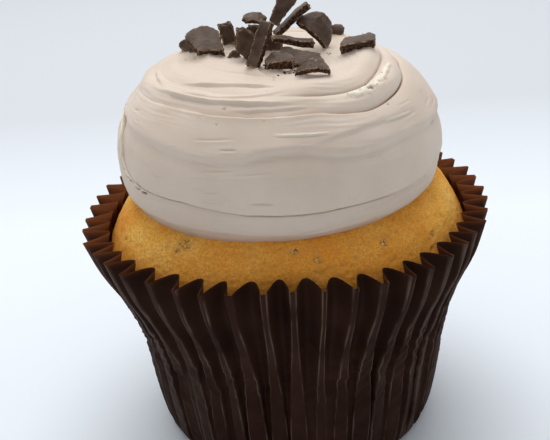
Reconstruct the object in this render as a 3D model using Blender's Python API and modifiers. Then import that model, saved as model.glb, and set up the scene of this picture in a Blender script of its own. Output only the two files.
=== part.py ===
"""A cupcake in a fluted paper case, with a swirl of frosting and chocolate shards.

Lengths are in millimetres until a mesh is made, then metres. +Z is up, the front is -Y, and
the origin is the middle of the base. Angles round the axis start at the front and grow
towards +X, in degrees.
"""
import math
import random
from dataclasses import dataclass

import bmesh
import bpy
import numpy as np
from mathutils import Euler, Matrix, Vector
from mathutils.bvhtree import BVHTree

MM = 0.001

# Driving dimensions
RIM_RADIUS = 40.0
CASE_HEIGHT = 48.5
BASE_RADIUS = 27.0
CAKE_TOP = 59.8
FROSTING_RADIUS = 31.6
FROSTING_TOP = 78.4
FROSTING_SHIFT = -1.2
GAP = 0.3

# Paper case
PAPER = 0.4
FLUTES = 48
FLUTE_COLUMNS = 5
CASE_ROWS = (0.0, 1.2, 4.5, 15.0, 27.0, 37.0, 44.5, CASE_HEIGHT)
RIDGE_LINE = (
    (0.0, BASE_RADIUS), (1.2, BASE_RADIUS + 1.9), (4.0, BASE_RADIUS + 3.0), (12.0, 31.3),
    (23.0, 32.6), (33.0, 35.1), (42.0, 38.7), (CASE_HEIGHT, RIM_RADIUS + 0.3),
)
FOLD_DEPTH = (
    (0.0, 0.7), (4.0, 1.1), (12.0, 1.6), (23.0, 2.0), (36.0, 2.5), (42.0, 2.9), (45.6, 3.5),
    (CASE_HEIGHT, 5.0),
)
FLAT_FOLD = 0.95
FLUTE_UNEVEN = 0.45
FLUTE_UNEVEN_TURN = 0.9

# Bulges of the rim, as angle, width of the bulge and how far it goes out; they fade out at
# the height where the wall is held by the cake
RIM_BULGES = ((0.0, 13.0, -1.7), (-58.0, 24.0, 2.0), (180.0, 70.0, -0.8))
BULGE_START = 18.0
BULGE_GROWTH = 1.5

# Cake
CAKE_COLUMNS = 48
CAKE_FLOOR = 0.85
CAKE_SHOULDER = 44.5
CAKE_WALL_ROWS = (CAKE_FLOOR, 2.0, 4.5, 15.0, 27.0, 37.0, CAKE_SHOULDER)
# The domed crust, as shares of the shoulder's radius and of the rise above it
DOME_LINE = (
    (1.0, 0.0), (0.96, 0.20), (0.91, 0.40), (0.85, 0.545), (0.74, 0.69), (0.55, 0.84),
    (0.28, 0.96), (0.0, 1.0),
)

# Frosting, as radius and height along its outside from the cake to the middle of the top
FROSTING_COLUMNS = 64
PROFILE_SAMPLES = 400
PROFILE_STEP = 0.2
CREASE_ROWS = 0.3
BAND_SHARES = (0.0, 0.25, 0.5, 0.75)
WALL_SHARES = (0.12, 0.28, 0.46, 0.64, 0.8, 0.92)
TOP_SHARES = (0.06, 0.12, 0.18, 0.24, 0.31, 0.39, 0.49, 0.6, 0.72, 0.85)
FROSTING_LINE = (
    (29.6, 54.3), (30.9, 55.6), (31.4, 58.5), (FROSTING_RADIUS, 62.0), (31.1, 65.8),
    (29.6, 69.8), (27.2, 73.3), (23.6, 76.2), (18.5, 77.8), (11.0, FROSTING_TOP),
    (4.0, 78.3), (0.0, 78.2),
)
LOWER_CREASE = (
    (-180.0, 66.5), (-120.0, 67.8), (-80.0, 67.3), (-64.0, 62.9), (-52.0, 59.3), (-26.0, 58.7),
    (0.0, 58.6), (33.0, 59.7), (70.0, 61.3), (120.0, 63.8), (180.0, 66.5),
)
SHOULDER_CREASE = (
    (-110.0, 27.4), (-75.0, 27.8), (-58.0, 27.1), (-17.0, 26.2), (20.0, 26.1), (49.0, 25.5),
    (76.0, 24.4), (120.0, 23.0), (180.0, 21.9), (250.0, 21.4), (310.0, 21.5), (370.0, 21.3),
)
INNER_CREASE = (
    (5.0, 23.2), (24.0, 23.3), (46.0, 22.1), (66.0, 20.7), (100.0, 19.6), (150.0, 18.2),
    (210.0, 16.6), (270.0, 15.0), (330.0, 12.8), (360.0, 14.6), (375.0, 17.4),
)
# Beside a crease the layer above bulges over and the layer below dips, each fading away
CREASE_LIP = 0.55
CREASE_LIP_REACH = 3.0
CREASE_DIP = 0.45
CREASE_DIP_REACH = 1.8
CREASE_END = 40.0
# The low place that the chocolate lies in, and the mound beside it, as the angle and radius
# of the middle, how far each reaches round and across, and how deep or high it is
HOLLOW = {"angle": 45.0, "radius": 9.0, "turn": 50.0, "reach": 4.5, "height": -1.3}
MOUND = {"angle": 80.0, "radius": 17.5, "turn": 30.0, "reach": 3.0, "height": 0.9}
# The relief fades out at the bottom edge and round the middle of the top
EDGE_FADE = 1.5
MIDDLE_FADE = 4.0
UNDER_GAP = 0.4
UNDER_SHARES = (0.25, 0.5, 0.72, 0.88, 0.97)


def between(points, value):
    """Read a smooth line through points at one value, with no overshoot."""
    xs = [point[0] for point in points]
    ys = [point[1] for point in points]
    if value <= xs[0]:
        return ys[0]
    if value >= xs[-1]:
        return ys[-1]
    steps = [(ys[i + 1] - ys[i]) / (xs[i + 1] - xs[i]) for i in range(len(xs) - 1)]
    slopes = [steps[0]]
    for before, after in zip(steps, steps[1:]):
        same_way = before * after > 0.0
        slopes.append(2.0 * before * after / (before + after) if same_way else 0.0)
    slopes.append(steps[-1])
    i = max(k for k in range(len(xs) - 1) if xs[k] <= value)
    width = xs[i + 1] - xs[i]
    t = (value - xs[i]) / width
    rise = ys[i + 1] - ys[i]
    bend_in = slopes[i] * width - rise
    bend_out = rise - slopes[i + 1] * width
    return ys[i] + t * rise + t * (1.0 - t) * (bend_in * (1.0 - t) + bend_out * t)


def turn_from(angle, middle):
    """The shortest way round, in degrees, from middle to angle."""
    return (angle - middle + 180.0) % 360.0 - 180.0


def bulge(angle, height):
    """How far the rim is pushed out at this angle, fading down the wall."""
    out = sum(far * math.exp(-((turn_from(angle, at) / wide) ** 2)) for at, wide, far in RIM_BULGES)
    fade = min(1.0, max(0.0, (height - BULGE_START) / (CASE_HEIGHT - BULGE_START)))
    return out * fade ** BULGE_GROWTH


def polar(radius, angle, height, shift=0.0):
    turn = math.radians(angle)
    return Vector((shift + radius * math.sin(turn), -radius * math.cos(turn), height)) * MM


def material(name, colour, roughness):
    made = bpy.data.materials.new(name)
    made.use_nodes = True
    shader = made.node_tree.nodes["Principled BSDF"]
    shader.inputs["Base Color"].default_value = (*colour, 1.0)
    shader.inputs["Roughness"].default_value = roughness
    shader.inputs["Metallic"].default_value = 0.0
    return made


def add_object(name, mesh, finish, parts):
    made = bpy.data.objects.new(name, mesh)
    made.data.materials.append(finish)
    parts.objects.link(made)
    return made


def loft(rings, name):
    """A closed skin over rings of points; a ring of one point closes an end."""
    shape = bmesh.new()
    rows = [[shape.verts.new(point) for point in ring] for ring in rings]
    for low, high in zip(rows, rows[1:]):
        count = max(len(low), len(high))
        for i in range(count):
            j = (i + 1) % count
            if len(low) == 1:
                shape.faces.new((low[0], high[j], high[i]))
            elif len(high) == 1:
                shape.faces.new((low[i], low[j], high[0]))
            else:
                shape.faces.new((low[i], low[j], high[j], high[i]))
    bmesh.ops.recalc_face_normals(shape, faces=shape.faces)
    mesh = bpy.data.meshes.new(name)
    shape.to_mesh(mesh)
    shape.free()
    mesh.shade_smooth()
    return mesh


def ridge_radius(height):
    return between(RIDGE_LINE, height)


def fold_radius(angle, height):
    """Radius of the inner folds, straight between the rows that the wall is made of."""
    radii = [ridge_radius(row) - between(FOLD_DEPTH, row) + bulge(angle, row) for row in CASE_ROWS]
    return float(np.interp(height, CASE_ROWS, radii))


def case_point(column, height, draws):
    """A point of the pleated wall: a sharp ridge at each flute, a round fold between."""
    flute, part = divmod(column, FLUTE_COLUMNS)
    step = 360.0 / FLUTES
    here = draws[flute % FLUTES]
    after = draws[(flute + 1) % FLUTES]
    t = part / FLUTE_COLUMNS
    strength = (height / CASE_HEIGHT) ** 2
    turned = (here[0] * (1.0 - t) + after[0] * t) * FLUTE_UNEVEN_TURN * strength
    angle = (flute + t) * step + turned
    fold = min(1.0, abs(math.sin(math.pi * t)) / FLAT_FOLD)
    out = (here[1] * (1.0 - t) + after[1] * t) * FLUTE_UNEVEN * strength * (1.0 - fold)
    radius = ridge_radius(height) + bulge(angle, height) - between(FOLD_DEPTH, height) * fold + out
    return polar(radius, angle, height)


def make_paper_case(finish, parts):
    """An open pleated surface with a flat base, thickened inwards."""
    draw = random.Random(48)
    draws = [(draw.uniform(-1.0, 1.0), draw.uniform(-1.0, 1.0)) for _ in range(FLUTES)]
    columns = FLUTES * FLUTE_COLUMNS
    shape = bmesh.new()
    rows = []
    for height in CASE_ROWS:
        rows.append([shape.verts.new(case_point(i, height, draws)) for i in range(columns)])
    for low, high in zip(rows, rows[1:]):
        for i in range(columns):
            j = (i + 1) % columns
            shape.faces.new((low[i], low[j], high[j], high[i]))
    shape.faces.new(list(reversed(rows[0])))
    mesh = bpy.data.meshes.new("paper_case")
    shape.to_mesh(mesh)
    shape.free()
    case = add_object("paper_case", mesh, finish, parts)
    wall = case.modifiers.new("paper thickness", "SOLIDIFY")
    wall.thickness = PAPER * MM
    wall.offset = -1.0


def cake_radius(angle, height):
    return fold_radius(angle, height) - PAPER - GAP


def dome_level(up):
    """Height of the crust, where up runs from 0 at the shoulder to 1 at the top."""
    return CAKE_SHOULDER + (CAKE_TOP - CAKE_SHOULDER) * up


def dome_height(x, y):
    """Height of the crust above a point of the base, both in millimetres."""
    angle = math.degrees(math.atan2(x, -y))
    across = math.hypot(x, y) / cake_radius(angle, CAKE_SHOULDER)
    line = tuple(reversed(DOME_LINE))
    return dome_level(between(line, across))


def make_cake(finish, parts):
    angles = [360.0 * i / CAKE_COLUMNS for i in range(CAKE_COLUMNS)]
    rings = [[polar(0.0, 0.0, CAKE_FLOOR)]]
    for height in CAKE_WALL_ROWS:
        rings.append([polar(cake_radius(a, height), a, height) for a in angles])
    for across, up in DOME_LINE[1:-1]:
        level = dome_level(up)
        rings.append([polar(cake_radius(a, CAKE_SHOULDER) * across, a, level) for a in angles])
    rings.append([polar(0.0, 0.0, CAKE_TOP)])
    add_object("cake", loft(rings, "cake"), finish, parts)


class FrostingSkin:
    """The outside of the frosting, read by angle and by the way s up its profile."""

    def __init__(self):
        last = len(FROSTING_LINE) - 1
        knots = [(float(i), point[0]) for i, point in enumerate(FROSTING_LINE)]
        rises = [(float(i), point[1]) for i, point in enumerate(FROSTING_LINE)]
        steps = np.linspace(0.0, last, PROFILE_SAMPLES)
        self.radius = np.array([between(knots, t) for t in steps])
        self.height = np.array([between(rises, t) for t in steps])
        pieces = np.hypot(np.diff(self.radius), np.diff(self.height))
        self.way = np.concatenate([[0.0], np.cumsum(pieces)])
        self.length = self.way[-1]
        self.widest = int(self.radius.argmax())

    def way_at_height(self, height):
        top = int(self.height.argmax())
        return float(np.interp(height, self.height[:top], self.way[:top]))

    def way_at_radius(self, radius):
        inner = slice(None, self.widest, -1)
        return float(np.interp(radius, self.radius[inner], self.way[inner]))

    def crease_ways(self, angle):
        """Where each crease crosses this angle: way up the profile and strength."""
        found = [(self.way_at_height(between(LOWER_CREASE, turn_from(angle, 0.0))), 1.0)]
        for line, strength in ((SHOULDER_CREASE, 1.0), (INNER_CREASE, 0.9)):
            start = line[0][0]
            end = line[-1][0]
            for turned in (turn_from(angle, 0.0), turn_from(angle, 0.0) + 360.0):
                if start < turned < end:
                    fade = min(1.0, (turned - start) / CREASE_END, (end - turned) / CREASE_END)
                    found.append((self.way_at_radius(between(line, turned)), strength * fade))
        return found

    def patch(self, place, angle, way):
        """A soft rise or hollow round one place on top."""
        turned = turn_from(angle, place["angle"]) / place["turn"]
        moved = (way - self.way_at_radius(place["radius"])) / place["reach"]
        return place["height"] * math.exp(-(turned ** 2) - moved ** 2)

    def relief(self, angle, way):
        """Lips and dips beside the creases, and the soft rises and hollows on top."""
        total = self.patch(HOLLOW, angle, way) + self.patch(MOUND, angle, way)
        for crease, strength in self.crease_ways(angle):
            away = way - crease
            if away >= 0.0:
                total += strength * CREASE_LIP * math.exp(-away / CREASE_LIP_REACH)
            else:
                total -= strength * CREASE_DIP * math.exp(away / CREASE_DIP_REACH)
        return total

    def point(self, angle, way):
        """Radius and height of the surface, moved out along the profile's normal."""
        way = min(max(way, 0.0), self.length)
        near = (max(way - PROFILE_STEP, 0.0), min(way + PROFILE_STEP, self.length))
        run = float(np.diff(np.interp(near, self.way, self.radius))[0])
        rise = float(np.diff(np.interp(near, self.way, self.height))[0])
        size = math.hypot(run, rise)
        fade = min(1.0, way / EDGE_FADE, (self.length - way) / MIDDLE_FADE)
        out = self.relief(angle, way) * fade
        radius = float(np.interp(way, self.way, self.radius)) + out * rise / size
        height = float(np.interp(way, self.way, self.height)) - out * run / size
        return max(radius, 0.0), height


def frosting_rows(skin, angle):
    """Ways up the profile for one column: a pair of rows hugs each of the main creases."""
    lower = skin.way_at_height(between(LOWER_CREASE, turn_from(angle, 0.0)))
    shoulder = skin.way_at_radius(between(SHOULDER_CREASE, turn_from(angle, 0.0)))
    pair = (-CREASE_ROWS, CREASE_ROWS)
    ways = [lower * share for share in BAND_SHARES]
    ways += [lower + away for away in pair]
    ways += [lower + (shoulder - lower) * share for share in WALL_SHARES]
    ways += [shoulder + away for away in pair]
    ways += [shoulder + (skin.length - shoulder) * share for share in TOP_SHARES]
    return ways


def make_frosting(finish, parts):
    skin = FrostingSkin()
    angles = [360.0 * i / FROSTING_COLUMNS for i in range(FROSTING_COLUMNS)]
    columns = [[skin.point(a, way) for way in frosting_rows(skin, a)] for a in angles]
    middle = dome_height(FROSTING_SHIFT, 0.0) + UNDER_GAP
    rings = [[polar(0.0, 0.0, middle, FROSTING_SHIFT)]]
    for share in UNDER_SHARES:
        ring = [polar(FROSTING_LINE[0][0] * share, angle, 0.0, FROSTING_SHIFT) for angle in angles]
        for spot in ring:
            spot.z = (dome_height(spot.x / MM, spot.y / MM) + UNDER_GAP) * MM
        rings.append(ring)
    for row in zip(*columns):
        rings.append([polar(radius, angle, height, FROSTING_SHIFT)
                      for (radius, height), angle in zip(row, angles)])
    top = skin.point(0.0, skin.length)[1]
    rings.append([polar(0.0, 0.0, top, FROSTING_SHIFT)])
    return add_object("frosting", loft(rings, "frosting"), finish, parts)


@dataclass
class Shard:
    """A broken plate of chocolate: its outline, then how it lies.

    rows go up the plate as (height, left edge, right edge). foot is the x and y that the
    middle of its lower edge stands on. lean tips it back from upright, tip turns it
    clockwise as seen from the front, and turn spins it about the upright axis. curl bends
    it along its height and cup across its width, towards its front. drop is how far above
    the top of the frosting it is let down from, so that a low one can slip under a tall one.
    """

    name: str
    rows: tuple
    thickness: float
    foot: tuple
    lean: float = 0.0
    tip: float = 0.0
    turn: float = 0.0
    curl: float = 0.0
    cup: float = 0.0
    drop: float = 14.0


SHARDS = (
    Shard("shard_small_left",
          rows=((0.0, -1.5, 1.2), (0.8, -1.7, 1.6), (1.8, -1.2, 1.5), (2.4, -0.3, 1.0)),
          thickness=1.6, foot=(-18.2, 4.6), lean=20, tip=22, turn=-20),
    Shard("shard_block",
          rows=((0.0, -1.3, 1.3), (1.3, -1.4, 1.3), (2.6, -1.3, 1.4), (3.9, -1.3, 1.3)),
          thickness=2.2, foot=(-9.7, 7.0), lean=0, tip=-13, turn=8),
    Shard("shard_rear_block",
          rows=((0.0, -2.4, 4.2), (1.0, -2.5, 4.3), (1.8, -2.3, 4.0), (2.5, -2.3, 2.4),
                (4.7, -2.2, 1.5)),
          thickness=2.4, foot=(-3.8, 2.4), lean=6, turn=-6),
    Shard("shard_plate_left",
          rows=((0.0, -2.4, 2.4), (1.9, -3.7, 2.0), (3.9, -5.2, 1.6), (5.0, -4.6, 1.2),
                (5.8, -3.8, 0.3), (6.3, -2.5, -1.1)),
          thickness=1.7, foot=(-12.9, -1.6), lean=56, turn=-3),
    Shard("shard_crumb",
          rows=((0.0, -1.4, 1.3), (0.7, -1.0, 0.9), (1.4, -0.2, 0.4)),
          thickness=1.2, foot=(-8.6, -2.6), lean=20, turn=10),
    Shard("shard_slab_left",
          rows=((0.0, -0.4, 0.7), (1.2, -1.3, 1.0), (2.4, -2.5, 1.3), (4.0, -2.3, 1.5),
                (5.2, -2.1, 0.9), (6.2, -2.0, -0.8)),
          thickness=1.8, foot=(-5.8, -3.2), lean=-8, turn=6),
    Shard("shard_stick",
          rows=((0.0, -1.2, 1.0), (2.8, -1.1, 1.1), (5.6, -1.1, 1.1), (8.4, -1.1, 1.0)),
          thickness=2.0, foot=(-5.0, -10.6), lean=26, tip=13, turn=-25),
    Shard("shard_foot_chunk",
          rows=((0.0, -2.4, 2.5), (1.0, -2.6, 2.8), (2.0, -2.0, 2.2), (2.8, -1.0, 0.6)),
          thickness=2.0, foot=(-0.2, -11.4), lean=62, turn=10, cup=0.3, drop=3.4),
    Shard("shard_flat_right",
          rows=((0.0, -3.5, 3.5), (1.2, -4.5, 3.0), (2.6, -4.9, 2.2), (3.6, -5.0, -1.6),
                (4.4, -4.7, -3.2)),
          thickness=1.2, foot=(4.7, -8.2), lean=57, turn=-4),
    Shard("shard_crossing",
          rows=((0.0, -0.5, 0.4), (2.6, -0.6, 0.5), (5.2, -0.5, 0.6), (7.8, -0.7, 0.6)),
          thickness=2.4, foot=(-1.4, -3.6), tip=101, turn=4),
    Shard("shard_curved",
          rows=((0.0, -3.6, 4.2), (1.7, -3.6, 3.9), (3.4, -3.0, 3.2), (5.2, -1.6, 1.6)),
          thickness=1.1, foot=(5.8, 2.0), lean=54, tip=42, turn=-12, cup=0.9),
    Shard("shard_edge",
          rows=((0.0, -0.6, 0.5), (2.8, -0.7, 0.7), (5.6, -0.8, 0.6), (8.4, -0.5, 0.6)),
          thickness=2.6, foot=(-0.7, 1.8), tip=50, turn=6),
    Shard("shard_tall",
          rows=((0.0, -1.0, 1.0), (2.4, -1.3, 1.2), (5.0, -1.7, 1.6), (7.6, -1.9, 1.4)),
          thickness=1.6, foot=(-0.9, 1.8), lean=4, tip=32, turn=-10),
    Shard("shard_leaf",
          rows=((0.0, -1.6, 1.2), (0.8, -2.3, 1.9), (1.6, -2.2, 2.3), (2.4, -1.0, 1.4)),
          thickness=0.9, foot=(-4.5, 0.9), lean=58, tip=12, turn=6, cup=0.3),
    Shard("shard_crescent",
          rows=((0.0, -3.1, 3.0), (0.9, -2.9, 2.9), (1.8, -2.2, 2.3), (2.5, -0.8, 1.0)),
          thickness=1.2, foot=(5.5, -15.6), lean=58, tip=-5, turn=-6, cup=0.8),
    Shard("shard_wedge",
          rows=((0.0, -3.4, 3.0), (1.2, -3.4, 3.4), (2.4, -2.2, 2.8)),
          thickness=1.9, foot=(14.7, -3.6), lean=68, tip=-6, turn=8),
    Shard("shard_curl",
          rows=((0.0, -1.4, 1.2), (0.8, -1.7, 1.5), (1.6, -1.3, 1.6), (2.2, -0.5, 1.2)),
          thickness=0.8, foot=(11.2, 9.6), lean=30, tip=10, curl=0.4),
)
SHARD_CRUMBLE = 0.12
SHARD_COLUMNS = 3
SETTLE_STEP = 0.1
SETTLE_DEPTH = 6.0


def shard_rings(shard, draw):
    """The plate as rings round its height, its edges a little crumbled."""
    rings = []
    length = shard.rows[-1][0]
    half = shard.thickness / 2
    for up, left, right in shard.rows:
        front = []
        back = []
        along = 1.0 - (2.0 * up / length - 1.0) ** 2
        for column in range(SHARD_COLUMNS + 1):
            share = column / SHARD_COLUMNS
            across = left + (right - left) * share
            bend = shard.curl * along + shard.cup * (1.0 - (2.0 * share - 1.0) ** 2)
            rough = [draw.uniform(-SHARD_CRUMBLE, SHARD_CRUMBLE) for _ in range(4)]
            front.append(Vector((across + rough[0], -half - bend, up + rough[1])))
            back.append(Vector((across + rough[2], half - bend, up + rough[3])))
        rings.append(front + list(reversed(back)))
    return rings


def shard_mesh(shard):
    rings = shard_rings(shard, random.Random(shard.name))
    shape = bmesh.new()
    made = [[shape.verts.new(point * MM) for point in ring] for ring in rings]
    count = len(made[0])
    for low, high in zip(made, made[1:]):
        for i in range(count):
            j = (i + 1) % count
            shape.faces.new((low[i], low[j], high[j], high[i]))
    for ring in (made[0], made[-1]):
        for i in range(SHARD_COLUMNS):
            shape.faces.new((ring[i], ring[i + 1], ring[count - 2 - i], ring[count - 1 - i]))
    bmesh.ops.recalc_face_normals(shape, faces=shape.faces)
    mesh = bpy.data.meshes.new(shard.name)
    shape.to_mesh(mesh)
    shape.free()
    return mesh


def skin_tree(mesh, place):
    """The faces of a mesh at a place, as triangles that can be tested for touching."""
    mesh.calc_loop_triangles()
    points = [place @ vertex.co for vertex in mesh.vertices]
    triangles = [tuple(triangle.vertices) for triangle in mesh.loop_triangles]
    return BVHTree.FromPolygons(points, triangles)


def settle(mesh, turned, shard, below):
    """Lower a shard in small steps until it touches, then lift it by the gap."""
    height = FROSTING_TOP + shard.drop
    while height > FROSTING_TOP - SETTLE_DEPTH:
        place = Matrix.Translation(Vector((*shard.foot, height)) * MM) @ turned
        tree = skin_tree(mesh, place)
        if any(tree.overlap(other) for other in below):
            break
        height -= SETTLE_STEP
    resting = Vector((*shard.foot, height + SETTLE_STEP + GAP)) * MM
    return Matrix.Translation(resting) @ turned


def make_shards(finish, parts, frosting):
    below = [skin_tree(frosting.data, Matrix.Identity(4))]
    for shard in SHARDS:
        mesh = shard_mesh(shard)
        tilt = Euler((math.radians(-shard.lean), math.radians(shard.tip), 0.0)).to_matrix()
        spin = Matrix.Rotation(math.radians(shard.turn), 3, "Z")
        place = settle(mesh, (spin @ tilt).to_4x4(), shard, below)
        made = add_object(shard.name, mesh, finish, parts)
        made.matrix_world = place
        below.append(skin_tree(mesh, place))


def main():
    for old in list(bpy.data.objects):
        bpy.data.objects.remove(old, do_unlink=True)
    parts = bpy.data.collections.new("cupcake")
    bpy.context.scene.collection.children.link(parts)
    paper = material("brown glassine paper", (0.028, 0.017, 0.013), 0.45)
    crumb = material("yellow cake", (0.60, 0.31, 0.07), 0.9)
    cream = material("mocha buttercream", (0.66, 0.56, 0.49), 0.6)
    chocolate = material("dark chocolate", (0.045, 0.026, 0.019), 0.4)
    make_paper_case(paper, parts)
    make_cake(crumb, parts)
    frosting = make_frosting(cream, parts)
    make_shards(chocolate, parts, frosting)


main()
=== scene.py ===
# %% [markdown]
# This lesson dresses a cupcake that is already built as plain solids: a paper case, a cake, a
# swirl of frosting and seventeen broken plates of chocolate. The solids are loaded as a frame,
# and each one is replaced by a finer mesh in the same place. Nothing here moves, because food
# has no joints, so every piece rides on the one body, root.

# %% Load the frame
import math
import random

import bmesh
import bpy
import numpy as np
from mathutils import Euler, Matrix, Vector, noise
from mathutils.bvhtree import BVHTree
from mathutils.kdtree import KDTree


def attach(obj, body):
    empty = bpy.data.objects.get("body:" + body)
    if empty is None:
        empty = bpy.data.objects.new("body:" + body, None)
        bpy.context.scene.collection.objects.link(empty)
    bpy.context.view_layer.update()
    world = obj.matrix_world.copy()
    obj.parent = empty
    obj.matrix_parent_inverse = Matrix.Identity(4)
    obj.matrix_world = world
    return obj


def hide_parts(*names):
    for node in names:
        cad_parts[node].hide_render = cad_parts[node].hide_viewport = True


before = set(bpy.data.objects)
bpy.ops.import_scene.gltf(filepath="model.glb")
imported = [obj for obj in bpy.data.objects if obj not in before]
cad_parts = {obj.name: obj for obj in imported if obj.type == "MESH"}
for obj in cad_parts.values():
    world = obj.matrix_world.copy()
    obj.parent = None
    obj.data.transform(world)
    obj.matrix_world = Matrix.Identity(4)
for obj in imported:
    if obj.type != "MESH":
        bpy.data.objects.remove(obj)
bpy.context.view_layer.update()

# %% [markdown]
# A few helpers come first. Colours are written as sRGB hex, the way a colour picker shows them,
# and Blender's sockets want linear light, so one function turns one into the other. A second
# adds a node with its settings and links. A third reads a smooth line through a few points,
# which is how a potter's template or a dressmaker's curve works: few points, no wobble.

# %% Colour, node and curve helpers
MM = 0.001


def linear(hex_colour):
    parts = [int(hex_colour[i:i + 2], 16) / 255 for i in (1, 3, 5)]
    return tuple(p / 12.92 if p <= 0.04045 else ((p + 0.055) / 1.055) ** 2.4 for p in parts) + (1.0,)


def add_node(tree, kind, inputs=None, stops=None, **settings):
    """A shader node: settings are its own choices, inputs are values or links by socket."""
    node = tree.nodes.new(kind)
    for name, value in settings.items():
        setattr(node, name, value)
    for place, (position, colour) in enumerate(stops or ()):
        if place > 1:
            node.color_ramp.elements.new(position)
        node.color_ramp.elements[place].position = position
        node.color_ramp.elements[place].color = linear(colour)
    for socket, value in (inputs or {}).items():
        if isinstance(value, bpy.types.NodeSocket):
            tree.links.new(value, node.inputs[socket])
        else:
            node.inputs[socket].default_value = value
    return node


def start_material(name, **values):
    """A new material with its Principled shader, whose constant sockets are set by name."""
    material = bpy.data.materials.new(name)
    material.use_nodes = True
    shader = material.node_tree.nodes["Principled BSDF"]
    for socket, value in values.items():
        shader.inputs[socket.replace("_", " ")].default_value = value
    return material, material.node_tree, shader


def between(points, values):
    """Read a smooth line through points at many values, with no overshoot."""
    xs, ys = np.array(points, float).T
    steps = np.diff(ys) / np.diff(xs)
    before, after = steps[:-1], steps[1:]
    same_way = before * after > 0
    middle = np.where(same_way, 2 * before * after / np.where(same_way, before + after, 1.0), 0.0)
    slopes = np.concatenate([steps[:1], middle, steps[-1:]])
    values = np.clip(values, xs[0], xs[-1])
    i = np.clip(np.searchsorted(xs, values, "right") - 1, 0, len(steps) - 1)
    width = xs[i + 1] - xs[i]
    rise = ys[i + 1] - ys[i]
    t = (values - xs[i]) / width
    bend_in = slopes[i] * width - rise
    bend_out = rise - slopes[i + 1] * width
    return ys[i] + t * rise + t * (1 - t) * (bend_in * (1 - t) + bend_out * t)


def turn_from(angles, middle):
    """The shortest way round, in degrees, from middle to each angle."""
    return (angles - middle + 180.0) % 360.0 - 180.0


def bell(distance, width):
    return np.exp(-(distance / width) ** 2)


def ease(values):
    """0 below 0, 1 above 1, and a soft start and stop between."""
    values = np.clip(values, 0.0, 1.0)
    return values * values * (3.0 - 2.0 * values)


def polar(radius, angles, height, shift=0.0):
    """Points round the upright axis; angles start at the front and grow towards +X."""
    turn = np.radians(angles)
    x = shift + radius * np.sin(turn)
    y = -radius * np.cos(turn)
    return np.stack(np.broadcast_arrays(x, y, height), axis=-1)


def grain(points, size, seed):
    """Smooth noise from -1 to 1 at each point, with bumps about size millimetres across."""
    spread = np.asarray(points).reshape(-1, 3) / size + seed * 17.3
    values = np.array([noise.noise(Vector(p)) for p in spread])
    return values.reshape(np.asarray(points).shape[:-1])


def ring_mesh(name, rows, low_pole=None, high_pole=None):
    """A mesh through rows of points that each go once round; a pole closes an end."""
    count, columns = rows.shape[:2]
    points = [tuple(p) for p in rows.reshape(-1, 3) * MM]
    here = np.arange(columns)
    after = (here + 1) % columns
    faces = []
    for row in range(count - 1):
        low = row * columns
        high = low + columns
        faces += np.stack([low + here, low + after, high + after, high + here], 1).tolist()
    if low_pole is not None:
        faces += [(len(points), int(j), int(i)) for i, j in zip(here, after)]
        points.append(tuple(np.array(low_pole) * MM))
    if high_pole is not None:
        top = (count - 1) * columns
        faces += [(top + int(i), top + int(j), len(points)) for i, j in zip(here, after)]
        points.append(tuple(np.array(high_pole) * MM))
    mesh = bpy.data.meshes.new(name)
    mesh.from_pydata(points, [], faces)
    mesh.shade_smooth()
    return mesh


def mark(mesh, name, values):
    """Write one number per point, which a material can read by this name."""
    values = np.asarray(values, float).ravel()
    written = mesh.attributes.new(name, "FLOAT", "POINT")
    padded = np.zeros(len(mesh.vertices), np.float32)
    padded[:len(values)] = values
    written.data.foreach_set("value", padded)


def place_piece(name, mesh, material, slot, *nodes):
    """Add a finished piece, which rides on the body and stands for these solids."""
    piece = bpy.data.objects.new(name, mesh)
    bpy.context.scene.collection.objects.link(piece)
    mesh.materials.append(material)
    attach(piece, "root")
    if nodes:
        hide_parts(*nodes)
    print(name, len(mesh.polygons), "faces")
    return piece


# %% [markdown]
# The camera stands in front and looks down at about 25 degrees, close enough that the lower
# part of the case leaves the picture. It is turned by three angles: down, aside, and a small
# roll. The light is a big soft lamp above and behind, as from a high window, with a pale sky
# all round. A pale floor gives light back from below.

# %% Camera
RIM_HEIGHT = 48.5
EYE_DISTANCE = 180.0
EYE_RISE = math.radians(24.6)
LOOK_DOWN = math.radians(26.08)
LOOK_ASIDE = math.radians(-1.0)
ROLL = math.radians(3.4)

camera_data = bpy.data.cameras.new("camera")
camera_data.lens = 57.58
camera_data.sensor_width = 36.0
camera_data.clip_start = 0.01
camera = bpy.data.objects.new("camera", camera_data)
bpy.context.scene.collection.objects.link(camera)
eye = Vector((0.0, -math.cos(EYE_RISE), math.sin(EYE_RISE))) * EYE_DISTANCE
eye.z += RIM_HEIGHT
aside = Matrix.Rotation(-LOOK_ASIDE, 4, "Z")
down = Matrix.Rotation(math.pi / 2 - LOOK_DOWN, 4, "X")
camera.matrix_world = Matrix.Translation(eye * MM) @ aside @ down @ Matrix.Rotation(-ROLL, 4, "Z")
bpy.context.scene.camera = camera
print("eye at", [round(x, 1) for x in eye], "mm")

# %% Floor
FLOOR_RADIUS = 1.6
# Painted shade: the floor is palest beside the cupcake and darker far behind it. How far behind it each
# tone lies, in metres
FLOOR_SHADE_TONES = ((-0.06, "#EAF0F6"), (0.04, "#EDF4FA"), (0.09, "#ECF3F9"), (0.2, "#D2D7DC"))

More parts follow.
